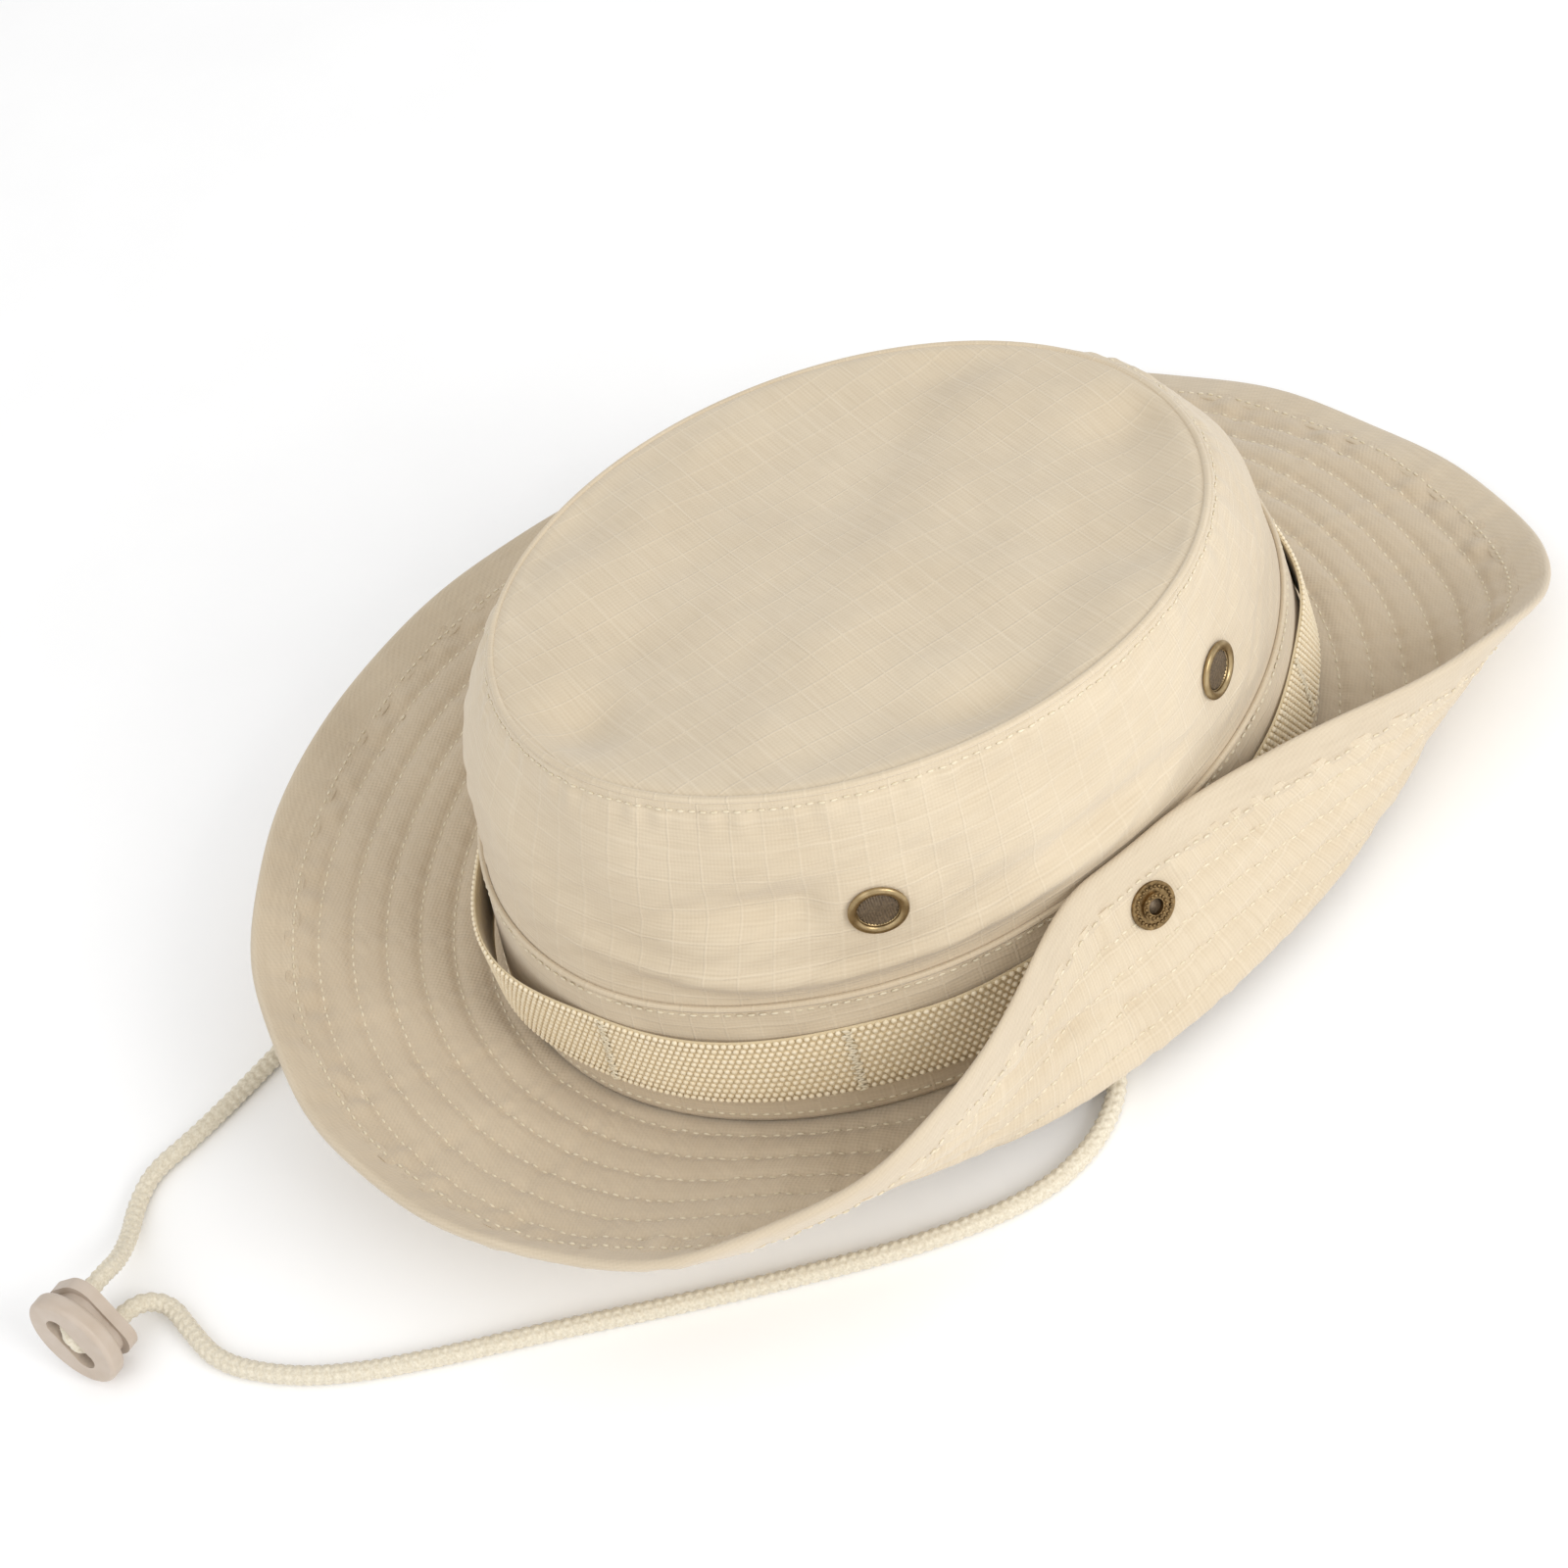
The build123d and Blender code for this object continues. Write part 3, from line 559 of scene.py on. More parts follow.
@dataclass(frozen=True)
class HatShape:
    """Sizes and rules of the crown and the brim, in millimetres and degrees."""

    half_long: float = 104.0
    half_wide: float = 84.0
    # height, half length, half width, shift to the left, shift to the back
    levels: tuple = ((0.0, 104.0, 84.0, 0.0, 0.0), (38.0, 99.0, 79.0, 0.8, 0.5), (60.0, 92.5, 80.0, 2.0, 1.2),
                     (81.9, 82.0, 76.0, 3.1, 1.9), (112.0, 67.6, 70.5, 4.6, 2.9))
    top_level: int = 3
    tilt: tuple = (0.12, -0.08)
    brim_width: float = 62.0
    brim_rise: float = 6.0
    brim_wave: float = 18.5
    back_sag: float = 2.0
    fold_turn: float = 141.0
    fold_drop: float = 32.0
    fold_out: float = 13.5
    fold_spread: float = 16.0
    fold_length: float = 11.0
    fold_soft: float = 24.0
    snap_heading: float = 95.0
    # Headings where a change of slope starts, is full, begins to fade and ends
    fold_gate: tuple = (38, 90, 100, 192)
    lift_gate: tuple = (24, 54, 60, 85)
    sag_gate: tuple = (190, 235, 262, 290)
    front_curl: float = 30.0
    left_lift: float = 14.0
    curl_width: float = 16.0
    snap_height: float = 26.2
    snap_from_rim: float = 15.0
    vent_height: float = 60.0
    vent_radius: float = 84.0
    vents: tuple = (61.0, 119.0, 241.0, 299.0)

    def top_height(self, heading: np.ndarray) -> np.ndarray:
        """Find the height at which the wall meets the tilted top.

        Args:
            heading: Headings.

        Returns:
            The height at each heading.
        """
        level, long, wide, _left, _back = self.levels[self.top_level]
        angle = np.radians(heading)
        return level + self.tilt[0] * wide * np.sin(angle) - self.tilt[1] * long * np.cos(angle)

    def level_of(self, heading: np.ndarray, height: np.ndarray) -> np.ndarray:
        """Turn heights into levels of an untilted crown, so that the wall ends at the tilted top.

        Args:
            heading: Headings.
            height: Heights at those headings.

        Returns:
            The level that each height stands for.
        """
        vent, top = self.vent_height, self.levels[self.top_level][0]
        above = (height - vent) * (top - vent) / (self.top_height(heading) - vent)
        return np.where(height > vent, vent + above, height)

    def crown_level(self, height: np.ndarray) -> list[np.ndarray]:
        """Find the crown's oval at a level, with the corners between the given levels eased.

        Args:
            height: Levels on an untilted crown.

        Returns:
            Half length, half width, shift to the left and shift to the back.
        """
        table = np.array(self.levels)
        values = []
        for column in range(1, 5):
            parts = [np.interp(height + step, table[:, 0], table[:, column]) for step in (-4.0, 0.0, 4.0)]
            values.append(sum(parts) / 3)
        return values

    def crown_point(self, heading: np.ndarray, height: np.ndarray, offset: np.ndarray | float = 0.0) -> np.ndarray:
        """Points of the crown wall.

        Args:
            heading: Headings, of the same shape as height.
            height: Heights.
            offset: How far each point stands out of the wall.

        Returns:
            The points, with a last axis of 3.
        """
        angle = np.radians(heading)

        def on_wall(level: np.ndarray) -> np.ndarray:
            """Points of the wall itself."""
            long, wide, left, back = self.crown_level(self.level_of(heading, level))
            return np.stack([left + wide * np.sin(angle), back - long * np.cos(angle), level + 0 * angle], -1)

        long, wide, _left, _back = self.crown_level(self.level_of(heading, height))
        side = np.stack([wide * np.cos(angle), long * np.sin(angle), 0 * angle + 0 * wide], -1)
        normal = np.cross(side, on_wall(height + 1) - on_wall(height - 1))
        normal /= np.linalg.norm(normal, axis=-1, keepdims=True)
        return on_wall(height) + normal * np.asarray(offset)[..., None]

    def crown_normal(self, heading: np.ndarray, height: np.ndarray) -> np.ndarray:
        """Outward normals of the crown wall."""
        return self.crown_point(heading, height, 1.0) - self.crown_point(heading, height)

    def brim_slope(self, heading: np.ndarray, along: np.ndarray) -> np.ndarray:
        """Find how steeply the brim rises.

        Args:
            heading: Headings.
            along: Distances from the seam.

        Returns:
            The slope in degrees, past 90 where the side is folded over.
        """
        turned = np.mod(heading, 360.0)
        folded = gate(heading, *self.fold_gate)
        rise = self.brim_rise + self.brim_wave * np.cos(np.radians(heading - 5))
        rise = rise + self.left_lift * gate(heading, *self.lift_gate)
        rise = rise - self.back_sag * gate(heading, *self.sag_gate)
        slope = rise * (1 - folded) * (0.6 + 0.6 * along / self.brim_width) - self.fold_drop * folded
        fold_at = self.fold_out + self.fold_spread * (np.abs(turned - self.snap_heading) / 60) ** 2
        length = self.fold_length + self.fold_soft * (1 - folded)
        slope = slope + self.fold_turn * folded * smooth((along - fold_at + length / 2) / length)
        front = 0.5 + 0.5 * np.cos(np.radians(heading))
        curl = smooth((along - self.brim_width + self.curl_width) / self.curl_width)
        return slope + self.front_curl * (1 - folded) * front * curl

    def brim_point(self, heading: np.ndarray, along: np.ndarray, offset: np.ndarray | float = 0.0) -> np.ndarray:
        """Points of the brim on a grid of headings by distances.

        Args:
            heading: Headings, one for each column.
            along: Distances from the seam, one for each row.
            offset: How far each point stands above the brim's middle.

        Returns:
            The points, columns by rows by 3.
        """
        heading = np.asarray(heading, float)
        along = np.asarray(along, float)
        steps = np.arange(int(self.brim_width)) + 0.5
        slopes = np.radians(self.brim_slope(heading[:, None], steps[None, :]))
        outward = np.concatenate([np.zeros((len(heading), 1)), np.cumsum(np.cos(slopes), 1)], 1)
        height = np.concatenate([np.zeros((len(heading), 1)), np.cumsum(np.sin(slopes), 1)], 1)
        marks = np.arange(int(self.brim_width) + 1.0)
        reach = np.stack([np.interp(along, marks, row) for row in outward])
        rise = np.stack([np.interp(along, marks, row) for row in height])
        slope = np.radians(self.brim_slope(heading[:, None], along[None, :]))
        angle = np.radians(heading)
        foot = np.stack([self.half_wide * np.sin(angle), -self.half_long * np.cos(angle)], -1)
        away = np.stack([np.sin(angle) / self.half_wide, -np.cos(angle) / self.half_long], -1)
        away /= np.linalg.norm(away, axis=-1, keepdims=True)
        offset = np.asarray(offset) + np.zeros_like(reach)
        flat = foot[:, None, :] + away[:, None, :] * (reach - offset * np.sin(slope))[..., None]
        return np.concatenate([flat, (rise + offset * np.cos(slope))[..., None]], -1)

    def brim_normal(self, heading: np.ndarray, along: np.ndarray) -> np.ndarray:
        """Find the normals of the brim's upper side.

        Args:
            heading: Headings, one for each column.
            along: Distances from the seam, one for each row.

        Returns:
            Unit normals, columns by rows by 3.
        """
        wide = 0.2
        sideways = self.brim_point(heading + wide, along) - self.brim_point(heading - wide, along)
        outward = self.brim_point(heading, along + wide) - self.brim_point(heading, along - wide)
        normal = np.cross(outward, sideways)
        return normal / np.linalg.norm(normal, axis=-1, keepdims=True)

    def pattern(self, heading: np.ndarray, along: np.ndarray) -> np.ndarray:
        """Find places on the brim's flat cut cloth.

        Args:
            heading: Headings, one for each column.
            along: Distances from the seam, one for each row.

        Returns:
            Places in millimetres, columns by rows by 2.
        """
        angle = np.radians(heading)
        foot = np.stack([self.half_wide * np.sin(angle), -self.half_long * np.cos(angle)], -1)
        away = np.stack([np.sin(angle) / self.half_wide, -np.cos(angle) / self.half_long], -1)
        away /= np.linalg.norm(away, axis=-1, keepdims=True)
        return foot[:, None, :] + away[:, None, :] * along[None, :, None]


SHAPE = HatShape()


# ---------------------------------------------------------------- the crown


@dataclass
class Crown:
    """The crown's wall and its flat oval top, with the seam and the stitches between them."""

    wardrobe: Wardrobe
    columns: int = 480
    rows: int = 100
    cloth: float = 1.0
    foot: float = 2.0
    loose_from: float = 37.5
    loose_ease: float = 7.0
    seam_stitch: float = 2.6
    top_grid: int = 120
    # Folds of the soft wall: how far it stands out, heading, spread, height, width and lean
    folds: tuple = ((3.2, 338, 34, 64, 15, 0.0), (1.6, 160, 30, 62, 14, 0.0), (-4.2, 50, 17, 63.75, 6, 0.05),
                    (-3.0, 92, 15, 52.65, 5, -0.05), (2.2, 36, 20, 46.24, 3, -0.12), (2.0, 74, 22, 44.16, 2.8, 0.08))
    # Dents near the top's edge: heading, depth and spread
    dents: tuple = ((3, 3.6, 9), (86, 3.2, 9), (130, 1.8, 8), (172, 3.4, 9), (218, 1.5, 12), (300, 1.6, 12))

    def relief(self, heading: np.ndarray, height: np.ndarray) -> np.ndarray:
        """Find how far the soft wall stands out of its even shape.

        Args:
            heading: Headings.
            height: Heights at those headings.

        Returns:
            The distance in millimetres, less than 0 in a hollow.
        """
        top_level = SHAPE.levels[SHAPE.top_level][0]
        below_top = top_level - SHAPE.level_of(heading, height)
        free = smooth((height - self.loose_from) / self.loose_ease) * smooth(below_top / self.loose_ease)
        total = 0.9 * ripple(heading + 0.7 * height, ((5, 0.3), (9, 1.9), (13, 4.0)))
        total = total + 0.22 * ripple(heading - 1.3 * height, ((31, 0.9), (47, 2.2)))
        for out, middle, spread, level, width, lean in self.folds:
            shape = bump_at(height - lean * (heading - middle), level, width)
            total = total + out * bump_round(heading, middle, spread) * shape
        total = total * free
        for vent in SHAPE.vents:
            away = np.mod(heading - vent + 180, 360) - 180
            reach = np.hypot(np.radians(away) * SHAPE.vent_radius, height - SHAPE.vent_height)
            total = total * smooth((reach - 7.5) / 9)
        below = SHAPE.top_height(heading) - height
        groove = -0.45 * bump_at(below, self.seam_stitch, 0.9) + 0.35 * bump_at(below, 1.0, 0.9)
        pull = 0.4 * ripple(heading, ((59, 0.3), (83, 1.7))) * bump_at(below, self.seam_stitch + 2.0, 3.0)
        return total + groove + pull

    def build(self) -> list[bpy.types.Object]:
        """Build the wall, the top, the seam between them and the topstitching.

        Returns:
            The crown's pieces.
        """
        heading = np.arange(self.columns) * 360.0 / self.columns
        top = SHAPE.top_height(heading)
        share = np.linspace(0, 1, self.rows)
        height = self.foot + (top[:, None] - self.foot) * share[None, :]
        wide = np.repeat(heading[:, None], self.rows, 1)
        relief = self.relief(wide, height)
        roll = 1.0 * smooth((share - 0.985) / 0.015)[None, :]
        outer = SHAPE.crown_point(wide, height, self.cloth / 2 + relief - roll)
        inner = SHAPE.crown_point(wide, height, -self.cloth / 2 + relief - roll)
        run = np.linalg.norm(np.diff(outer[:, 0], axis=0, append=outer[:1, 0]), axis=1)
        around = np.concatenate([[0], np.cumsum(run)[:-1]])
        uv = np.stack([np.repeat(around[:, None], self.rows, 1), height], -1)
        wall = cloth_mesh("crown_wall_cloth", outer, inner, uv, self.wardrobe.ripstop, wrap=True)
        enter(wall, "ripstop_cotton", "crown_wall")
        pieces = [wall, self.build_top(), *self.stitch(heading, top)]
        for piece in pieces:
            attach(piece, "hat")
        return pieces

    def build_top(self) -> bpy.types.Object:
        """Build the oval top, sagging a little inside its seam.

        Returns:
            The top.
        """
        level, long, wide, left, back = SHAPE.levels[SHAPE.top_level]
        axis = np.linspace(-1, 1, self.top_grid)
        u, v = np.meshgrid(axis, axis, indexing="ij")
        x, y = u * np.sqrt(1 - v * v / 2), v * np.sqrt(1 - u * u / 2)
        reach = np.hypot(x, y)
        heading = np.degrees(np.arctan2(x, -y))
        sag = -3.0 * (1 - reach**2) - 0.8 * (1 - smooth((1 - reach) * 22))
        edge = bump_at(reach, 0.86, 0.12) * smooth((1 - reach) * 12)
        for middle, deep, spread in self.dents:
            sag = sag - deep * bump_round(heading, middle, spread) * edge
        px, py = x * (wide + 0.2), y * (long + 0.2)
        crease = 1.3 * np.sin(0.075 * px + 0.03 * py + 0.6) + 0.9 * np.sin(0.055 * py - 0.04 * px + 2.0)
        crease = crease + 0.35 * np.sin(0.17 * px + 0.11 * py) + 0.3 * np.sin(0.2 * py - 0.09 * px + 1.0)
        sag = sag + crease * smooth((1 - reach) * 5)
        rise = level + SHAPE.tilt[0] * px + SHAPE.tilt[1] * py
        outer = np.stack([px + left, py + back, rise + 0.75 + sag], -1)
        inner = outer - np.array([-0.12, 0.08, 1.0]) * 0.9
        top = cloth_mesh("crown_top_cloth", outer, inner, np.stack([px, py], -1), self.wardrobe.ripstop,
                         grid_normals(outer))
        enter(top, "ripstop_cotton", "crown_top")
        return top

    def stitch(self, heading: np.ndarray, top: np.ndarray) -> list[bpy.types.Object]:
        """Build the seam's rolled edge and the topstitch below it.

        Args:
            heading: Headings round the crown.
            top: Height of the wall's upper edge at each heading.

        Returns:
            The stitches and the edge.
        """
        loop = np.append(heading, 360.0)
        high = np.append(top, top[0])
        line = high - self.seam_stitch
        surface = SHAPE.crown_point(loop, line, self.cloth / 2 + self.relief(loop, line))
        row = stitch_row(surface, SHAPE.crown_normal(loop, line), 2.5, 0.72, 0.2)
        stitches = ThreadWork(Bead.ROUND).lay("crown_topstitch", *row, 0.62, 0.6, self.wardrobe.thread)
        ring = SHAPE.crown_point(heading, top - 0.15, -0.35)
        edge = tube_mesh("crown_seam_edge", ring, SHAPE.crown_normal(heading, top), 0.85, self.wardrobe.ripstop)
        return [enter(stitches, "ripstop_cotton"), enter(edge, "ripstop_cotton")]


def tube_mesh(name: str, ring: np.ndarray, outward: np.ndarray, radius: np.ndarray | float,
              material: bpy.types.Material, sides: int = 10, closed: bool = True,
              profile: np.ndarray | None = None) -> bpy.types.Object:
    """Sweep a rounded section along a line of points.

    Args:
        name: The piece's name.
        ring: Points of the line, in millimetres.
        outward: Direction of the section's first axis at each point.
        radius: Radius of the round section, one number or columns by sides.
        material: The finish.
        sides: Number of corners of the section.
        closed: Whether the line's end meets its start.
        profile: Section as points of outward and sideways distances, in place of a circle.

    Returns:
        The new object.
    """
    if closed:
        ahead = np.roll(ring, -1, 0) - np.roll(ring, 1, 0)
    else:
        ahead = np.gradient(ring, axis=0)
    ahead /= np.linalg.norm(ahead, axis=1, keepdims=True)
    first = outward - (outward * ahead).sum(1, keepdims=True) * ahead
    first /= np.linalg.norm(first, axis=1, keepdims=True)
    second = np.cross(ahead, first)
    if profile is None:
        turn = np.arange(sides) * math.tau / sides
        profile = np.stack([np.cos(turn), np.sin(turn)], -1)
    else:
        sides = len(profile)
    scale = np.asarray(radius, float) + np.zeros((len(ring), sides))
    points = (ring[:, None] + first[:, None] * (profile[None, :, :1] * scale[..., None])
              + second[:, None] * (profile[None, :, 1:] * scale[..., None]))
    count = len(ring)
    grid = np.arange(count * sides).reshape(count, sides)
    near, far = (grid, np.roll(grid, -1, 0)) if closed else (grid[:-1], grid[1:])
    faces = np.stack([near, np.roll(near, -1, 1), np.roll(far, -1, 1), far], -1).reshape(-1, 4).tolist()
    if not closed:
        faces += [grid[0][::-1].tolist(), grid[-1].tolist()]
    piece = make_piece(name, points, faces, material)
    run = np.concatenate([[0], np.cumsum(np.linalg.norm(np.diff(ring, axis=0), axis=1))])
    step = np.linalg.norm(np.diff(points, axis=1, append=points[:, :1]), axis=-1).mean(0)
    across = np.concatenate([[0], np.cumsum(step)])
    column, corner = np.divmod(np.arange(near.size), sides)
    here, ahead_run = run[column], run[np.minimum(column + 1, count - 1)]
    low, high = across[corner], across[corner + 1]
    uv = np.stack([here, low, here, high, ahead_run, high, ahead_run, low], -1).reshape(-1, 2)
    lay_out(piece, np.concatenate([uv, np.zeros((0 if closed else 2 * sides, 2))]))
    return piece


# ---------------------------------------------------------------- bands round the crown


@dataclass
class Bands:
    """The crown band, the foliage webbing in its loops, the sweatband, the seam tape and the label."""

    wardrobe: Wardrobe
    columns: int = 480
    band_foot: float = 2.0
    band_top: float = 37.0
    webbing: tuple = (9.5, 28.5)
    tacks: tuple = (19.0, 55.0, 84.0, 106.0, 137.0, 167.0, 201.0, 236.0, 266.0, 296.0, 329.0)
    bead_pitch: float = 1.7
    bead_rows: int = 12
    band_radius: float = 94.0
    webbing_radius: float = 95.0
    tack_beads: int = 26
    sweatband: tuple = (2.0, 34.0)
    seam_tape: tuple = (-0.9, 1.1)
    label_reach: float = 16.0
    label: tuple = (8.0, 26.0)
    inner_face: float = -1.95

    def edge_line(self, heading: np.ndarray) -> np.ndarray:
        """Height of the band's folded top edge."""
        return self.band_top + 0.7 * ripple(heading, ((3, 0.5), (7, 2.0))) * (1 - bump_round(heading, 95, 15))

    def lift(self, heading: np.ndarray, share: np.ndarray) -> np.ndarray:
        """How far the webbing stands off the band between its tacks.

        Args:
            heading: Headings.
            share: Place across the webbing, from 0 at its foot to 1 at its top.

        Returns:
            The distance in millimetres.
        """
        total = np.zeros_like(heading + share)
        marks = [*self.tacks, self.tacks[0] + 360.0]
        for index, (start, end) in enumerate(zip(marks, marks[1:])):
            turned = np.mod(heading - start, 360.0)
            inside = (turned >= 0) & (turned <= end - start)
            arch = np.sin(math.pi * np.clip(turned / (end - start), 0, 1)) ** 2
            high = 4.6 if index == len(self.tacks) - 1 else 0.7 + 0.5 * math.sin(index * 2.1)
            total = np.where(inside, high * arch * (0.45 + 0.55 * share), total)
        return total * (1 - bump_round(heading, 95, 9)) * (1 - bump_round(heading, 265, 9))

    def ring(self, name: str, low: np.ndarray | float, high: np.ndarray | float, out: float, thick: float, rows: int,
             material: bpy.types.Material, extra: np.ndarray | float = 0.0) -> bpy.types.Object:
        """Build a closed band of cloth that follows the crown.

        Args:
            name: The piece's name.
            low: Height of the lower edge.
            high: Height of the upper edge.
            out: Distance of its outer side from the middle of the wall.
            thick: Thickness.
            rows: Rows of points across it.
            material: The finish.
            extra: How far it stands off, columns by rows.

        Returns:
            The new object.
        """
        heading = np.arange(self.columns) * 360.0 / self.columns
        share = np.linspace(0, 1, rows)
        foot = np.zeros(self.columns) + low
        height = foot[:, None] + (np.zeros(self.columns) + high - foot)[:, None] * share[None, :]
        wide = np.repeat(heading[:, None], rows, 1)
        rounding = 0.35 * thick * (smooth(1 - share * rows / 3) + smooth(1 - (1 - share) * rows / 3))[None, :]
        outer = SHAPE.crown_point(wide, height, out + extra - rounding)
        inner = SHAPE.crown_point(wide, height, out - thick + extra + rounding)
        around = np.radians(heading) * self.band_radius
        uv = np.stack([np.repeat(around[:, None], rows, 1), height], -1)
        return cloth_mesh(name, outer, inner, uv, material, wrap=True)

    def build(self) -> list[bpy.types.Object]:
        """Build every band and its stitches.

        Returns:
            The pieces of all the bands.
        """
        heading = np.arange(self.columns) * 360.0 / self.columns
        edge = self.edge_line(heading)
        share = np.linspace(0, 1, 40)
        ease = 0.3 * ripple(heading, ((23, 0.4), (37, 1.5)))[:, None] * smooth((share - 0.75) * 8)[None, :] + 0.2
        band = self.ring("crown_band_cloth", self.band_foot, edge, 1.3, 0.62, 40, self.wardrobe.ripstop, ease)
        enter(band, "ripstop_cotton", "crown_band")
        loop = np.arange(self.columns + 1) * 360.0 / self.columns
        rows = []
        for height, off in ((self.edge_line(loop) - 1.8, 1.6), (loop * 0 + 4.2, 1.5)):
            line = SHAPE.crown_point(loop, height, off)
            rows.append(stitch_row(line, SHAPE.crown_normal(loop, height), 2.6, 0.75, 0.0))
        stitches = ThreadWork(Bead.ROUND).lay("crown_band_stitches", *gather(rows), 0.65, 0.6, self.wardrobe.thread)
        enter(stitches, "ripstop_cotton")
        fold = tube_mesh("crown_band_fold", SHAPE.crown_point(heading, edge - 0.3, 1.15),
                         SHAPE.crown_normal(heading, edge), 0.75, self.wardrobe.ripstop, sides=8)
        enter(fold, "ripstop_cotton")
        pieces = [band, stitches, fold, *self.build_webbing(), *self.build_inside()]
        for piece in pieces:
            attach(piece, "hat")
        return pieces

    def build_webbing(self) -> list[bpy.types.Object]:
        """Build the webbing's ground, its beaded weave and its bar tacks.

        Returns:
            The ground, the weave and the tacks.
        """
        low, high = self.webbing
        heading = np.arange(self.columns) * 360.0 / self.columns
        share = np.linspace(0, 1, 14)
        lift = self.lift(heading[:, None], share[None, :])
        ground = self.ring("foliage_webbing_ground", low, high, 2.55, 0.95, 14, self.wardrobe.webbing, lift)
        enter(ground, "webbing", "foliage_webbing")
        count = int(math.tau * self.webbing_radius / self.bead_pitch)
        spots = np.arange(count) * 360.0 / count
        places, sides, normals = [], [], []
        for row in range(self.bead_rows):
            turned = spots + (row % 2) * 180.0 / count
            part = (row + 0.5) / self.bead_rows
            height = np.full(count, low + (high - low) * part)
            off = 2.62 + self.lift(turned, np.full(count, part))
            here = SHAPE.crown_point(turned, height, off)
            places.append(here)
            ahead = SHAPE.crown_point(turned + 0.3, height, off) - here
            sides.append(ahead / np.linalg.norm(ahead, axis=1, keepdims=True))
            normals.append(SHAPE.crown_normal(turned, height))
        beads = ThreadWork(Bead.ROUND, 6).lay("foliage_webbing_weave", np.concatenate(places), np.concatenate(sides),
                                              np.concatenate(normals), 1.5, 1.42, 1.0, self.wardrobe.yarn)
        enter(beads, "webbing")
        tacks = []
        for tack in self.tacks:
            for row in range(self.tack_beads):
                height = low + 0.5 + (high - low - 1.0) * row / (self.tack_beads - 1)
                turned = np.array([tack + 0.25 * math.sin(row * 2.4)])
                level = np.array([height])
                here = SHAPE.crown_point(turned, level, 2.95)
                ahead = SHAPE.crown_point(turned + 0.3, level + 0.2 * (-1) ** row, 2.95) - here
                tacks.append((here, ahead / np.linalg.norm(ahead), SHAPE.crown_normal(turned, level), np.array([2.3])))
        bars = ThreadWork(Bead.ROUND).lay("foliage_webbing_tacks", *gather(tacks), 0.75, 0.6, self.wardrobe.thread)
        return [ground, beads, enter(bars, "webbing")]

    def build_inside(self) -> list[bpy.types.Object]:
        """Build the sweatband, the seam tape and the blank label.

        Returns:
            The three pieces and the sweatband's stitches.
        """
        heading = np.arange(self.columns) * 360.0 / self.columns
        soft = 0.25 * ripple(heading, ((17, 0.2), (29, 1.1)))[:, None] * np.linspace(0, 1, 30)[None, :] ** 2
        sweat = self.ring("sweatband_cloth", *self.sweatband, -0.65, 1.0, 30, self.wardrobe.sweatband, soft - 0.25)
        enter(sweat, "sweatband_cloth", "sweatband")
        tape = self.ring("seam_tape_cloth", *self.seam_tape, -0.9, 2.5, 8, self.wardrobe.tape)
        enter(tape, "edge_binding", "seam_tape")
        across = np.linspace(self.label_reach, -self.label_reach, 30)
        turned = 180 - np.degrees(np.arcsin(across / SHAPE.half_wide))
        level = np.linspace(*self.label, 16)
        grid_turn, grid_level = np.meshgrid(turned, level, indexing="ij")
        front = SHAPE.crown_point(grid_turn, grid_level, self.inner_face - 0.3)
        rear = SHAPE.crown_point(grid_turn, grid_level, self.inner_face)
        uv = np.stack(np.meshgrid(across, level, indexing="ij"), -1)
        label = cloth_mesh("size_label_tape", front[::-1], rear[::-1], uv[::-1], self.wardrobe.label)
        enter(label, "label_cloth", "size_label")
        loop = np.arange(self.columns + 1) * 360.0 / self.columns
        rows = []
        for height in (loop * 0 + 4.0, loop * 0 + 31.5):
            line = SHAPE.crown_point(loop, height, self.inner_face)
            rows.append(stitch_row(line, -SHAPE.crown_normal(loop, height), 2.8, 0.75, 0.05))
        stitches = ThreadWork(Bead.ROUND).lay("sweatband_stitches", *gather(rows), 0.55, 0.45, self.wardrobe.thread)
        return [sweat, tape, label, enter(stitches, "sweatband_cloth")]


# ---------------------------------------------------------------- the brim


class Side(Enum):
    """Which face of the brim a sheet is."""

    UPPER = 1
    UNDER = -1


@dataclass(frozen=True)
class Region:
    """A stretch of the brim between two headings, with the flap it belongs to, if any."""

    name: str
    start: float
    end: float
    flap: str = ""
    hold: tuple = ()
    turn: tuple = ()

    def attach(self, piece: bpy.types.Object) -> None:
        """Attach a piece to the hat, or on a flap's stretch bake its transform into its mesh.

        Args:
            piece: A piece of this stretch.
        """
        if self.flap:
            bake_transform(piece)
        else:
            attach(piece, "hat")


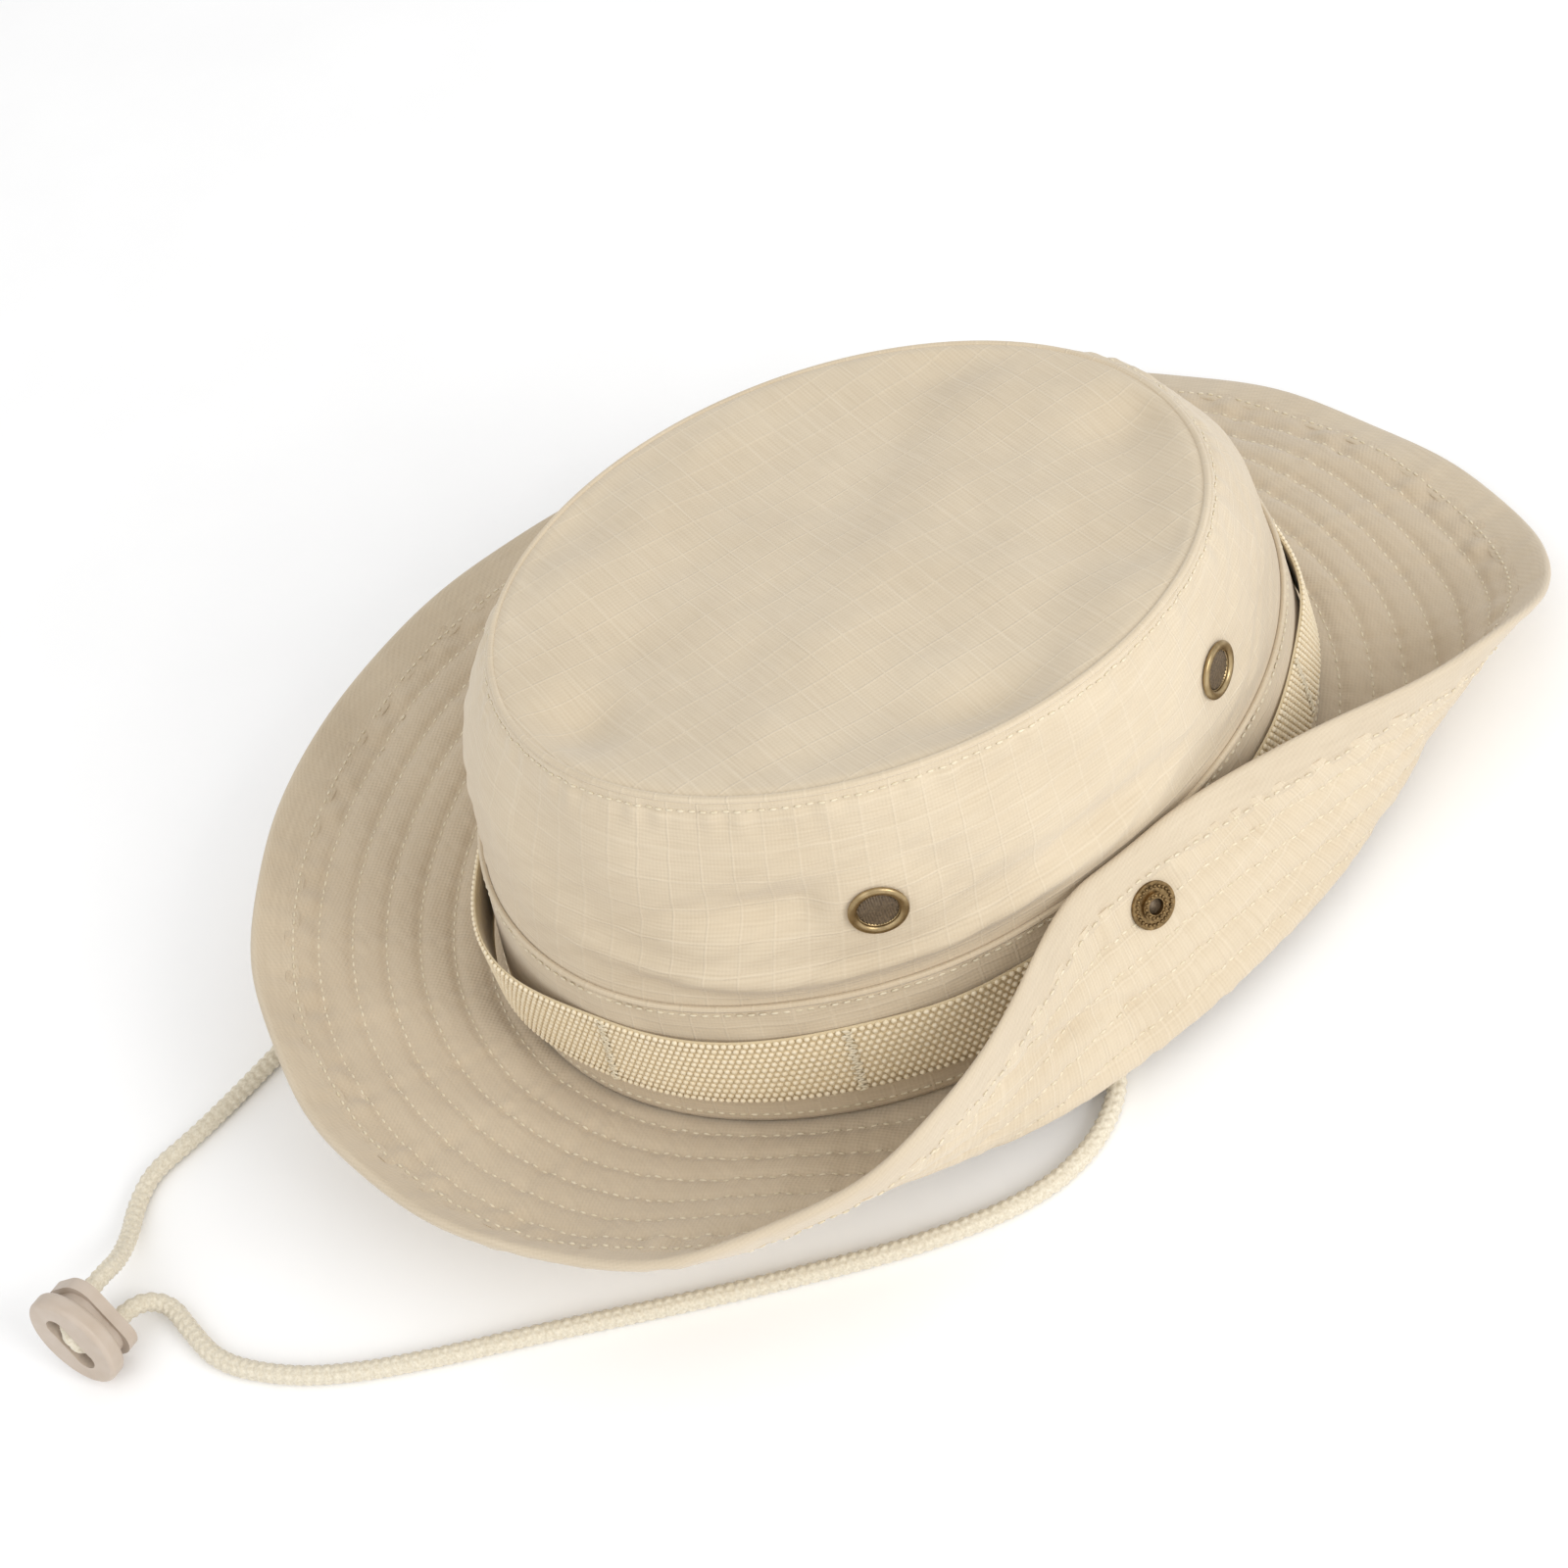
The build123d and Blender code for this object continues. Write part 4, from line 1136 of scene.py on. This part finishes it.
@dataclass
class Brim:
    """The brim: two quilted sheets, the rim's binding and the rows of stitches."""

    wardrobe: Wardrobe
    regions: tuple = (
        Region("brim_front", 322.0, 402.0),
        Region("brim_left_front", 42.0, 75.0, "left_flap", (0, -0.029, 0.001), (0, -0.0194, 0.0202)),
        Region("brim_left", 75.0, 115.0, "left_flap", (0, 0, 0.001), (0, 0, 0.025)),
        Region("brim_left_back", 115.0, 175.0, "left_flap", (0, 0.060, 0.001), (0, 0.05435, 0.0236)),
        Region("brim_back", 175.0, 212.0),
        Region("brim_right", 212.0, 322.0, "right_flap", (-0.098, 0, 0), (-0.112, 0, 0)),
    )
    stands_for: tuple = (
        ("brim_front", ("brim_front",)),
        ("brim_left", ("left_fold_strip", "left_flap")),
        ("brim_back", ("brim_back",)),
        ("brim_right", ("right_fold_strip", "right_flap")),
    )
    step: float = 0.6
    binding_in: float = 52.9
    tape_spare: float = 2.3
    quilt_first: float = 5.5
    quilt_pitch: float = 8.0
    quilt_rows: int = 6
    ply: float = 0.75
    snap_radius: float = 125.0
    rim_radius: float = 150.0
    # Headings of the folded side, where the cloth is held and waves less
    calm_gate: tuple = (50, 80, 112, 140)

    def flatness(self, heading: np.ndarray, along: np.ndarray) -> np.ndarray:
        """Find where the cloth is free to wave.

        Args:
            heading: Headings.
            along: Distances from the seam.

        Returns:
            0 at the snaps and at the seam, and 1 on free cloth.
        """
        free = smooth(along / 10) * np.ones_like(heading)
        for snap in (SHAPE.snap_heading, 360 - SHAPE.snap_heading):
            away = np.mod(heading - snap + 180, 360) - 180
            reach = np.hypot(np.radians(away) * self.snap_radius, along - SHAPE.brim_width + SHAPE.snap_from_rim)
            free = free * smooth((reach - 5.6) / 8)
        return free

    def wave(self, heading: np.ndarray, along: np.ndarray) -> np.ndarray:
        """Find the soft rise and fall of the whole cloth.

        Args:
            heading: Headings.
            along: Distances from the seam.

        Returns:
            The height in millimetres.
        """
        free = self.flatness(heading, along) * (1 - gate(heading, *self.calm_gate) * 0.75)
        wave = 1.2 * ripple(heading + 0.5 * along, ((7, 0.4), (12, 2.6), (19, 1.2)))
        crease = 2.0 * bump_at(along + 0.9 * (np.mod(heading, 360) - 84), 34, 2.4) * bump_round(heading, 80, 12)
        return wave * free * (0.3 + 0.7 * along / SHAPE.brim_width) + crease * self.flatness(heading, along)

    def quilt(self, heading: np.ndarray, along: np.ndarray) -> np.ndarray:
        """Find the height of the padding between the stitch rows.

        Args:
            heading: Headings.
            along: Distances from the seam.

        Returns:
            The height in millimetres, less than 0 at a row.
        """
        phase = (along - self.quilt_first) / self.quilt_pitch
        last = self.quilt_first + self.quilt_pitch * (self.quilt_rows - 1)
        away = (np.mod(phase + 0.5, 1.0) - 0.5) * self.quilt_pitch
        hollow = bump_at(away, 0.0, 1.35)
        hollow = hollow * (along > self.quilt_first - 3) * (along < last + 3)
        pucker = ripple(heading, ((73, 0.2), (109, 1.4), (141, 2.9)))
        bulge = 0.55 + 0.42 * pucker * bump_at(away, 0.0, 2.6)
        outer = 0.8 * ripple(heading, ((61, 0.8), (89, 2.3))) * bump_at(along, 48.5, 3.4)
        return (bulge - 0.95 * hollow + outer) * (0.35 + 0.65 * self.flatness(heading, along))

    def rise(self, heading: np.ndarray, along: np.ndarray, side: Side) -> np.ndarray:
        """Find how far a sheet's outer face lies from the brim's middle.

        Args:
            heading: Headings, one for each column.
            along: Distances from the seam, one for each row.
            side: Which sheet.

        Returns:
            Offsets, columns by rows.
        """
        wide, far = np.meshgrid(heading, along, indexing="ij")
        return self.wave(wide, far) + side.value * (self.ply + self.quilt(wide, far))

    def sheet(self, region: Region, side: Side) -> bpy.types.Object:
        """Build one side's sheet of a stretch.

        Args:
            region: The stretch.
            side: Which sheet.

        Returns:
            The sheet.
        """
        columns = int((region.end - region.start) / self.step) + 1
        heading = np.linspace(region.start, region.end, columns)
        along = np.arange(0.0, 54.01, 0.9)
        wide, far = np.meshgrid(heading, along, indexing="ij")
        outer = SHAPE.brim_point(heading, along, self.rise(heading, along, side))
        inner = SHAPE.brim_point(heading, along, self.wave(wide, far) + side.value * 0.04)
        uv = SHAPE.pattern(heading, along)
        name = f"{region.name}_{side.name.lower()}_cloth"
        upper = side is Side.UPPER
        if upper:
            outer, inner, uv = outer[::-1], inner[::-1], uv[::-1]
        piece = cloth_mesh(name, outer, inner, uv, self.wardrobe.twill if upper else self.wardrobe.ripstop,
                           self.edge_true(region, side, along, columns))
        return enter(piece, "twill_lining" if upper else "ripstop_cotton")

    def edge_true(self, region: Region, side: Side, along: np.ndarray, columns: int) -> np.ndarray:
        """Find a sheet's normals so that they carry on into the next stretch.

        Args:
            region: The stretch.
            side: Which sheet.
            along: Distances of its rows from the seam.
            columns: How many columns it has.

        Returns:
            Unit normals, columns by rows by 3.
        """
        spare = (region.end - region.start) / (columns - 1)
        heading = np.linspace(region.start - spare, region.end + spare, columns + 2)
        points = SHAPE.brim_point(heading, along, self.rise(heading, along, side))
        return grid_normals(points[::-1] if side is Side.UPPER else points)[1:-1]

    def binding(self, region: Region) -> bpy.types.Object:
        """Build the tape folded over the rim of a stretch.

        Args:
            region: The stretch.

        Returns:
            The tape.
        """
        columns = int((region.end - region.start) / self.step) + 1
        heading = np.linspace(region.start, region.end, columns)
        rim = SHAPE.brim_width
        upper = [(self.binding_in - 0.3, 0.85), (self.binding_in, 1.25), (self.binding_in + 1.2, 1.4),
                 (self.binding_in + 2.2, 1.22), (56.5, 1.45), (59.5, 1.4), (61.2, 1.15)]
        section = upper + [(61.85, 0.6), (rim, 0.0)]
        section += [(s, -o) for s, o in reversed(section[:-1])]
        along = np.array([s for s, _ in section])
        offset = np.array([o for _, o in section])
        points = self.binding_points(heading, along, offset)
        spare = heading[1] - heading[0]
        wider = np.concatenate([[heading[0] - spare], heading, [heading[-1] + spare]])
        ring = self.binding_points(wider, along, offset)
        across_way = np.roll(ring, -1, 1) - np.roll(ring, 1, 1)
        normals = np.cross(across_way, np.gradient(ring, axis=0))[1:-1]
        normals /= np.linalg.norm(normals, axis=-1, keepdims=True)
        sides = len(section)
        grid = np.arange(columns * sides).reshape(columns, sides)
        near, far_side = grid[:-1], grid[1:]
        faces = np.stack([near, np.roll(near, -1, 1), np.roll(far_side, -1, 1), far_side], -1).reshape(-1, 4).tolist()
        faces += [grid[0][::-1].tolist(), grid[-1].tolist()]
        piece = make_piece(f"{region.name}_binding_tape", points, faces, self.wardrobe.tape)
        run = np.radians(heading) * self.rim_radius
        across = np.concatenate([[0], np.cumsum(np.hypot(np.diff(along), np.diff(offset)))])
        flat = np.stack(np.meshgrid(run, across, indexing="ij"), -1).reshape(-1, 2)
        loops = np.concatenate([np.ravel(face) for face in faces])
        lay_out(piece, flat[loops])
        corner = normals.reshape(-1, 3)[loops]
        for cap, face in enumerate(piece.data.polygons[-2:]):
            start = len(loops) - (2 - cap) * sides
            corner[start : start + sides] = face.normal
        piece.data.normals_split_custom_set(corner.tolist())
        return enter(piece, "edge_binding")

    def binding_points(self, heading: np.ndarray, along: np.ndarray, offset: np.ndarray) -> np.ndarray:
        """Points of the tape, wider away from the snaps.

        Args:
            heading: Headings, one for each column.
            along: Distances of the section's points from the seam.
            offset: Heights of the section's points.

        Returns:
            The points, columns by section points by 3.
        """
        snaps = bump_round(heading, SHAPE.snap_heading, 9) + bump_round(heading, 360 - SHAPE.snap_heading, 9)
        points = np.empty((len(heading), len(along), 3))
        for index, (here, high) in enumerate(zip(along, offset)):
            far = here - self.tape_spare * (1 - snaps) * (here < 57)
            pucker = 1 + 0.16 * ripple(heading, ((83, 0.5), (127, 1.9))) * (here < 60)
            points[:, index] = self.line_at(heading, far, high * pucker)
        return points

    def line_at(self, heading: np.ndarray, along: np.ndarray, offset: np.ndarray) -> np.ndarray:
        """Find a line round the brim near its rim.

        Args:
            heading: Headings.
            along: Distance from the seam at each heading.
            offset: Height above the brim's middle at each heading.

        Returns:
            One point for each heading.
        """
        marks = np.arange(SHAPE.brim_width - 14.0, SHAPE.brim_width + 0.01, 1.0)
        middle = SHAPE.brim_point(heading, marks)
        upward = SHAPE.brim_point(heading, marks, 1.0) - middle
        place = np.clip(along - marks[0], 0, len(marks) - 1.001)
        low = place.astype(int)
        part = (place - low)[:, None]
        column = np.arange(len(heading))
        here = middle[column, low] * (1 - part) + middle[column, low + 1] * part
        lift = upward[column, low] * (1 - part) + upward[column, low + 1] * part
        lift /= np.linalg.norm(lift, axis=-1, keepdims=True)
        return here + lift * (self.wave(heading, along) + offset)[:, None]

    def stitches(self, region: Region) -> bpy.types.Object:
        """Build the stitches of both sides of a stretch.

        Args:
            region: The stretch.

        Returns:
            The stitches, as one piece.
        """
        rows = []
        marks = [self.quilt_first + self.quilt_pitch * row for row in range(self.quilt_rows)] + [54.2]
        heading = np.linspace(region.start, region.end, 200)
        for mark in marks:
            along = np.array([mark])
            for side in Side:
                if mark > self.binding_in:
                    line = self.binding_points(heading, along, np.array([side.value * 1.46]))[:, 0]
                else:
                    line = SHAPE.brim_point(heading, along, self.rise(heading, along, side))[:, 0]
                normal = SHAPE.brim_normal(heading, along)[:, 0] * side.value
                rows.append(stitch_row(line, normal, 2.7, 0.72, 0.02))
        piece = ThreadWork(Bead.ROUND, 5).lay(f"{region.name}_stitches", *gather(rows), 0.62, 0.6,
                                              self.wardrobe.thread)
        return enter(piece, "edge_binding")

    def build(self) -> list[bpy.types.Object]:
        """Build every stretch of the brim.

        Returns:
            Four pieces for each stretch.
        """
        nodes = dict(self.stands_for)
        pieces = []
        for region in self.regions:
            parts = {
                "upper_ply": self.sheet(region, Side.UPPER),
                "under_ply": self.sheet(region, Side.UNDER),
                "binding": self.binding(region),
                "stitches": self.stitches(region),
            }
            for layer, piece in parts.items():
                given = [f"{node}_{layer}" for node in nodes.get(region.name, ())]
                known = [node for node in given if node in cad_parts]
                if known:
                    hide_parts(*known)
                region.attach(piece)
                pieces.append(piece)
        return pieces


# ---------------------------------------------------------------- metal trim


@dataclass
class Trim:
    """The brass snaps and vents, with the beading round each snap and the wire behind each vent."""

    wardrobe: Wardrobe
    beads: int = 26
    bead_ring: float = 4.45
    wire_pitch: float = 0.6
    wire_reach: float = 4.45
    rim_radius: float = 5.5
    barrel_radius: float = 4.55

    def build(self) -> list[bpy.types.Object]:
        """Dress the metal nodes and add the beads and the wires.

        Returns:
            The pieces that are added to the frame's own.
        """
        for name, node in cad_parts.items():
            if "_snap_" in name:
                dress(node, self.wardrobe.snap_brass)
            elif name == "vent_washers":
                dress(node, self.wardrobe.brass)
            elif name == "vent_screens":
                dress(node, self.wardrobe.mesh)
        pieces = [self.wires(), *self.eyelets()]
        for side in ("left", "right"):
            # each snap gets its beading and a dark disc of painted shade deep in its hole
            for piece in (self.beading(side), self.painted_shade_disc(side)):
                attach(piece, f"{side}_flap")
                pieces.append(piece)
        return pieces

    def cap_frame(self, side: str) -> tuple:
        """Find the place of a snap on the brim.

        Args:
            side: "left" or "right".

        Returns:
            Seat, upper side normal and two directions in the brim's plane.
        """
        heading = SHAPE.snap_heading if side == "left" else 360 - SHAPE.snap_heading
        along = np.array([SHAPE.brim_width - SHAPE.snap_from_rim])
        turned = np.array([heading])
        seat = SHAPE.brim_point(turned, along)[0, 0]
        normal = SHAPE.brim_normal(turned, along)[0, 0]
        first = SHAPE.brim_point(turned, along + 0.4)[0, 0] - seat
        first /= np.linalg.norm(first)
        return seat, normal, first, np.cross(normal, first)

    def vent_frame(self, vent: float) -> tuple:
        """Find the place of a vent on the wall.

        Args:
            vent: Its heading.

        Returns:
            Its middle, the outward normal, and the directions to the side and up.
        """
        turned, level = np.array([vent]), np.array([SHAPE.vent_height])
        normal = SHAPE.crown_normal(turned, level)[0]
        side = np.cross((0, 0, 1), normal)
        side /= np.linalg.norm(side)
        return SHAPE.crown_point(turned, level)[0], normal, side, np.cross(normal, side)

    def painted_shade_disc(self, side: str) -> bpy.types.Object:
        """Build a dark disc at the bottom of the cap's hole, as painted shade for the hole's dark inside.

        Args:
            side: "left" or "right".

        Returns:
            The disc.
        """
        seat, normal, first, _second = self.cap_frame(side)
        # the disc takes the dark wire finish: painted shade in the hole, not a real part of the snap
        line = seat - normal * np.array([0.9, 1.1, 1.3, 1.5])[:, None]
        piece = tube_mesh(f"{side}_snap_painted_shade_disc", line, np.tile(first, (len(line), 1)), 1.86, self.wardrobe.mesh, 20,
                          closed=False)
        return enter(piece, "antique_brass")

    def eyelets(self) -> list[bpy.types.Object]:
        """Build the rolled rims and the barrels of the four vents.

        Returns:
            A rim and a barrel for each vent.
        """
        pieces = []
        turn = np.arange(48) * math.tau / 48
        round_turn = np.arange(16) * math.tau / 16
        roll = np.stack([0.98 * np.cos(round_turn), 0.66 * np.sin(round_turn)], -1)
        barrel = np.array([(-0.15, -1.4), (0.15, -1.4), (0.15, 1.5), (-0.15, 1.5)])
        for index, vent in enumerate(SHAPE.vents):
            middle, normal, side, rise = self.vent_frame(vent)
            spoke = np.cos(turn)[:, None] * side + np.sin(turn)[:, None] * rise
            for name, radius, out, section in (("rim", self.rim_radius, 1.0, roll),
                                               ("barrel", self.barrel_radius, -0.6, barrel)):
                ring = middle + spoke * radius + normal * out
                piece = tube_mesh(f"vent_{name}_{index + 1}", ring, spoke, 1.0, self.wardrobe.brass, profile=section)
                enter(piece, "antique_brass")
                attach(piece, "hat")
                pieces.append(piece)
        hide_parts("vent_eyelets")
        return pieces

    def beading(self, side: str) -> bpy.types.Object:
        """Build the ring of beads on a snap's cap.

        Args:
            side: "left" or "right".

        Returns:
            The beads, as one piece.
        """
        seat, normal, first, second = self.cap_frame(side)
        places, sides = [], []
        for count, radius, drop in ((self.beads, self.bead_ring, 1.68), (16, 2.6, 2.5)):
            turn = np.arange(count) * math.tau / count
            spoke = np.cos(turn)[:, None] * first + np.sin(turn)[:, None] * second
            places.append(seat + spoke * radius - normal * drop)
            sides.append(np.cross(spoke, normal))
        points = np.concatenate(places)
        piece = ThreadWork(Bead.ROUND, 8).lay(f"{side}_snap_beading", points, np.concatenate(sides),
                                              np.tile(-normal, (len(points), 1)), 0.95, 0.95, 0.9,
                                              self.wardrobe.snap_brass, 0.05)
        return enter(piece, "antique_brass")

    def wires(self) -> bpy.types.Object:
        """Build the woven wires over the four screens.

        Returns:
            The wires, as one piece.
        """
        points, along, upward, reach = [], [], [], []
        for vent in SHAPE.vents:
            middle, normal, side, rise = self.vent_frame(vent)
            for index, (first, second) in enumerate(((side, rise), (rise, side))):
                for wire in np.arange(-7, 8) * self.wire_pitch:
                    half = math.sqrt(max(0.1, self.wire_reach**2 - wire**2))
                    points.append(middle + second * wire + normal * (0.5 + 0.16 * index))
                    along.append(first)
                    upward.append(normal)
                    reach.append(2 * half)
        piece = ThreadWork(Bead.ROD, 6).lay("vent_wires", np.array(points), np.array(along), np.array(upward),
                                            np.array(reach), 0.3, 0.26, self.wardrobe.mesh, 0.05)
        enter(piece, "vent_mesh")
        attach(piece, "hat")
        return piece


def dress(node: bpy.types.Object, material: bpy.types.Material) -> None:
    """Give a carried-over node a finish."""
    for slot in node.material_slots:
        slot.material = material


# ---------------------------------------------------------------- chin cord


@dataclass
class ChinCord:
    """The knitted cord, its cloth tabs and its slide lock."""

    wardrobe: Wardrobe
    diameter: float = 4.5
    floor_line: float = -11.35
    lock_centre: tuple = (-9.0, -228.0, -0.3)
    lock_front: tuple = (0.5, -0.85, 0.19)
    lock_down: tuple = (0.53, 0.125, -0.839)
    across: float = 4.8
    leg_end: float = 15.5
    crossing: float = 0.45
    sides: int = 30
    wales: int = 5
    stitch_pitch: float = 2.3
    tab_half: float = 2.72

    def lock_point(self, across: float, ahead: float) -> tuple:
        """Find a point in the lock's frame.

        Args:
            across: Distance towards the lock's lower bore.
            ahead: Distance towards the lock's front.

        Returns:
            The point, in millimetres.
        """
        front = Vector(self.lock_front).normalized()
        down = Vector(self.lock_down).normalized()
        return tuple(Vector(self.lock_centre) + down * across + front * ahead)

    def route(self) -> list[tuple]:
        """Points of the cord's route, from the left tab round the lock to the right tab."""
        low = self.floor_line
        return [
            (81.7, -3.0, -6.2), (86.0, -8.0, -9.6), (95.0, -13.0, low), (103.0, -26.0, low), (105.0, -43.0, low),
            (98.0, -67.0, low), (86.0, -92.0, low), (72.5, -117.5, low), (57.5, -144.0, low), (46.5, -165.0, low),
            (36.5, -182.0, low), (26.0, -195.0, low), (12.0, -205.5, low), (-0.5, -207.0, low),
            (-11.0, -207.5, -10.7),
            self.lock_point(self.across, -self.leg_end), self.lock_point(self.across, self.crossing),
            self.lock_point(-self.across, self.crossing), self.lock_point(-self.across, -self.leg_end),
            (-24.5, -212.0, -4.5), (-33.0, -207.0, -9.5), (-41.5, -202.0, low), (-47.5, -194.5, low),
            (-49.0, -183.0, low), (-52.5, -168.0, low), (-58.5, -147.0, low), (-65.0, -122.0, low),
            (-73.5, -97.0, low), (-83.0, -73.0, low), (-90.5, -50.0, low), (-93.0, -32.0, low),
            (-90.5, -18.0, -10.8), (-86.0, -9.5, -8.9), (-82.0, -4.0, -6.2),
        ]

    def path(self) -> np.ndarray:
        """Smooth the route.

        Returns:
            Points of the cord's centreline, in millimetres.
        """
        curve = bpy.data.curves.new("chin_cord_line", "CURVE")
        curve.dimensions = "3D"
        curve.resolution_u = 24
        spline = curve.splines.new("NURBS")
        route = self.route()
        spline.points.add(len(route) - 1)
        for point, place in zip(spline.points, route):
            point.co = (place[0] * MM, place[1] * MM, place[2] * MM, 1.0)
        spline.order_u = 3
        spline.use_endpoint_u = True
        carrier = bpy.data.objects.new("chin_cord_line", curve)
        bpy.context.scene.collection.objects.link(carrier)
        bpy.context.view_layer.update()
        graph = bpy.context.evaluated_depsgraph_get()
        mesh = bpy.data.meshes.new_from_object(carrier.evaluated_get(graph))
        line = np.array([v.co[:] for v in mesh.vertices]) / MM
        bpy.data.objects.remove(carrier)
        return line

    def build(self) -> list[bpy.types.Object]:
        """Build the cord, its tabs and the lock's finish.

        Returns:
            The cord and its two tabs.
        """
        line = self.path()
        run = np.concatenate([[0], np.cumsum(np.linalg.norm(np.diff(line, axis=0), axis=1))])
        length = run[-1]
        at = np.linspace(0, length, int(length / 0.42))
        points = np.stack([np.interp(at, run, line[:, i]) for i in range(3)], -1)
        ahead = np.gradient(points, axis=0)
        ahead /= np.linalg.norm(ahead, axis=1, keepdims=True)
        outward = np.cross(ahead, np.array([0.0, 0.0, 1.0]))
        for index in range(1, len(points)):
            carried = outward[index - 1] - ahead[index] * (outward[index - 1] @ ahead[index])
            outward[index] = carried / np.linalg.norm(carried)
        turn = np.arange(self.sides) * math.tau / self.sides
        wale = np.abs(np.mod(turn / math.tau * self.wales, 1.0) - 0.5) * 2
        chevron = np.sin(math.tau * (at[:, None] / self.stitch_pitch + 0.5 * wale[None, :]))
        radius = self.diameter / 2 * (0.93 + 0.085 * chevron - 0.10 * smooth(1 - 3 * wale)[None, :])
        cord = tube_mesh("chin_cord_knit", points, outward, radius, self.wardrobe.cord, self.sides, closed=False)
        enter(cord, "braided_cord", "chin_cord")
        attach(cord, "hat")
        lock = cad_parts["cord_lock"]
        dress(lock, self.wardrobe.plastic)
        log.info("cord line %.1f mm", length)
        return [cord, self.tab("left", 0), self.tab("right", -1)]

    def tab(self, side: str, end: int) -> bpy.types.Object:
        """Build the cloth tab that holds one end of the cord.

        Args:
            side: "left" or "right".
            end: Index of the route's point at that end, 0 or -1.

        Returns:
            The tab.
        """
        route = self.route()
        tip = np.array(route[end])
        away = tip - np.array(route[1 if end == 0 else -2])
        away /= np.linalg.norm(away)
        steps = np.linspace(-1.2, 5.0, 14)
        line = tip + away * steps[:, None]
        corner = np.arange(16) * math.tau / 16
        power = 4.0  # a circle at 2, and nearer to a square the higher it is
        size = (np.abs(np.cos(corner)) ** power + np.abs(np.sin(corner)) ** power) ** (-1 / power)
        swell = self.tab_half * (1 - 0.16 * smooth((1.0 - (steps + 1.2)) / 1.0)) * (1 + 0.03 * np.sin(steps * 2.4))
        side_way = np.tile(np.cross(away, (0, 0, 1.0)), (len(steps), 1))
        piece = tube_mesh(f"{side}_cord_tab_cloth", line, side_way, swell[:, None] * size[None, :],
                          self.wardrobe.tape, 16, closed=False)
        enter(piece, "ripstop_cotton", f"{side}_cord_tab")
        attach(piece, "hat")
        return piece


# ---------------------------------------------------------------- studio


@dataclass
class Studio:
    """The pale floor, the soft lights and the camera."""

    ground: float = -13.6
    camera_place: tuple = (0.4540, -0.1826, 0.5330)
    camera_right: tuple = (0.544, 0.803, -0.244)
    camera_up: tuple = (-0.528, 0.554, 0.643)
    camera_back: tuple = (0.652, -0.221, 0.725)
    lens: float = 69.75
    floor_reach: float = 3.0
    air: float = 0.86

    def build(self) -> None:
        """Set the floor, the light and the camera."""
        scene = bpy.context.scene
        reach, level = self.floor_reach / MM, self.ground
        square = np.array([(-reach, -reach, level), (reach, -reach, level), (reach, reach, level),
                           (-reach, reach, level)])
        paper = Solid("studio_paper_matt", "#ffffff", "#fdfdfd", 0.9, grain=40.0, relief=0.0).make()
        floor = make_piece("floor", square, [(0, 1, 2, 3)], paper)
        world = bpy.data.worlds.new("studio_air")
        world.use_nodes = True
        background = world.node_tree.nodes["Background"]
        background.inputs["Color"].default_value = (1.0, 1.0, 1.0, 1.0)
        background.inputs["Strength"].default_value = self.air
        scene.world = world
        self.lamp("key", (1.0, 0.3, 0.62), 0.55, 6.0)
        self.lamp("fill", (0.5, -1.0, 0.9), 1.1, 3.0)
        data = bpy.data.cameras.new("camera")
        data.lens = self.lens
        data.sensor_width = 36.0
        data.clip_start = 0.01
        camera = bpy.data.objects.new("camera", data)
        columns = Matrix((self.camera_right, self.camera_up, self.camera_back)).transposed()
        camera.matrix_world = Matrix.Translation(self.camera_place) @ columns.to_4x4().normalized()
        scene.collection.objects.link(camera)
        scene.camera = camera
        scene.view_settings.view_transform = "Standard"

    def lamp(self, name: str, place: tuple, size: float, power: float) -> None:
        """Add a soft square light that faces the hat.

        Args:
            name: The light's name.
            place: Where it stands, in metres.
            size: Length of its side, in metres.
            power: Its power in watts.
        """
        data = bpy.data.lights.new(name, "AREA")
        data.size = size
        data.energy = power
        lamp = bpy.data.objects.new(name, data)
        lamp.location = place
        lamp.rotation_euler = (Vector((0, 0, 0.03)) - Vector(place)).to_track_quat("-Z", "Y").to_euler()
        bpy.context.scene.collection.objects.link(lamp)


def main() -> None:
    """Build the studio, then each sub-assembly in order."""
    logging.basicConfig(level=logging.INFO, format="%(message)s")
    Studio().build()
    wardrobe = Wardrobe()
    for maker in (ChinCord(wardrobe), Crown(wardrobe), Bands(wardrobe), Brim(wardrobe), Trim(wardrobe)):
        for piece in maker.build():
            log.info("%s: %d faces", piece.name, len(piece.data.polygons))


if __name__ == "__main__":
    main()
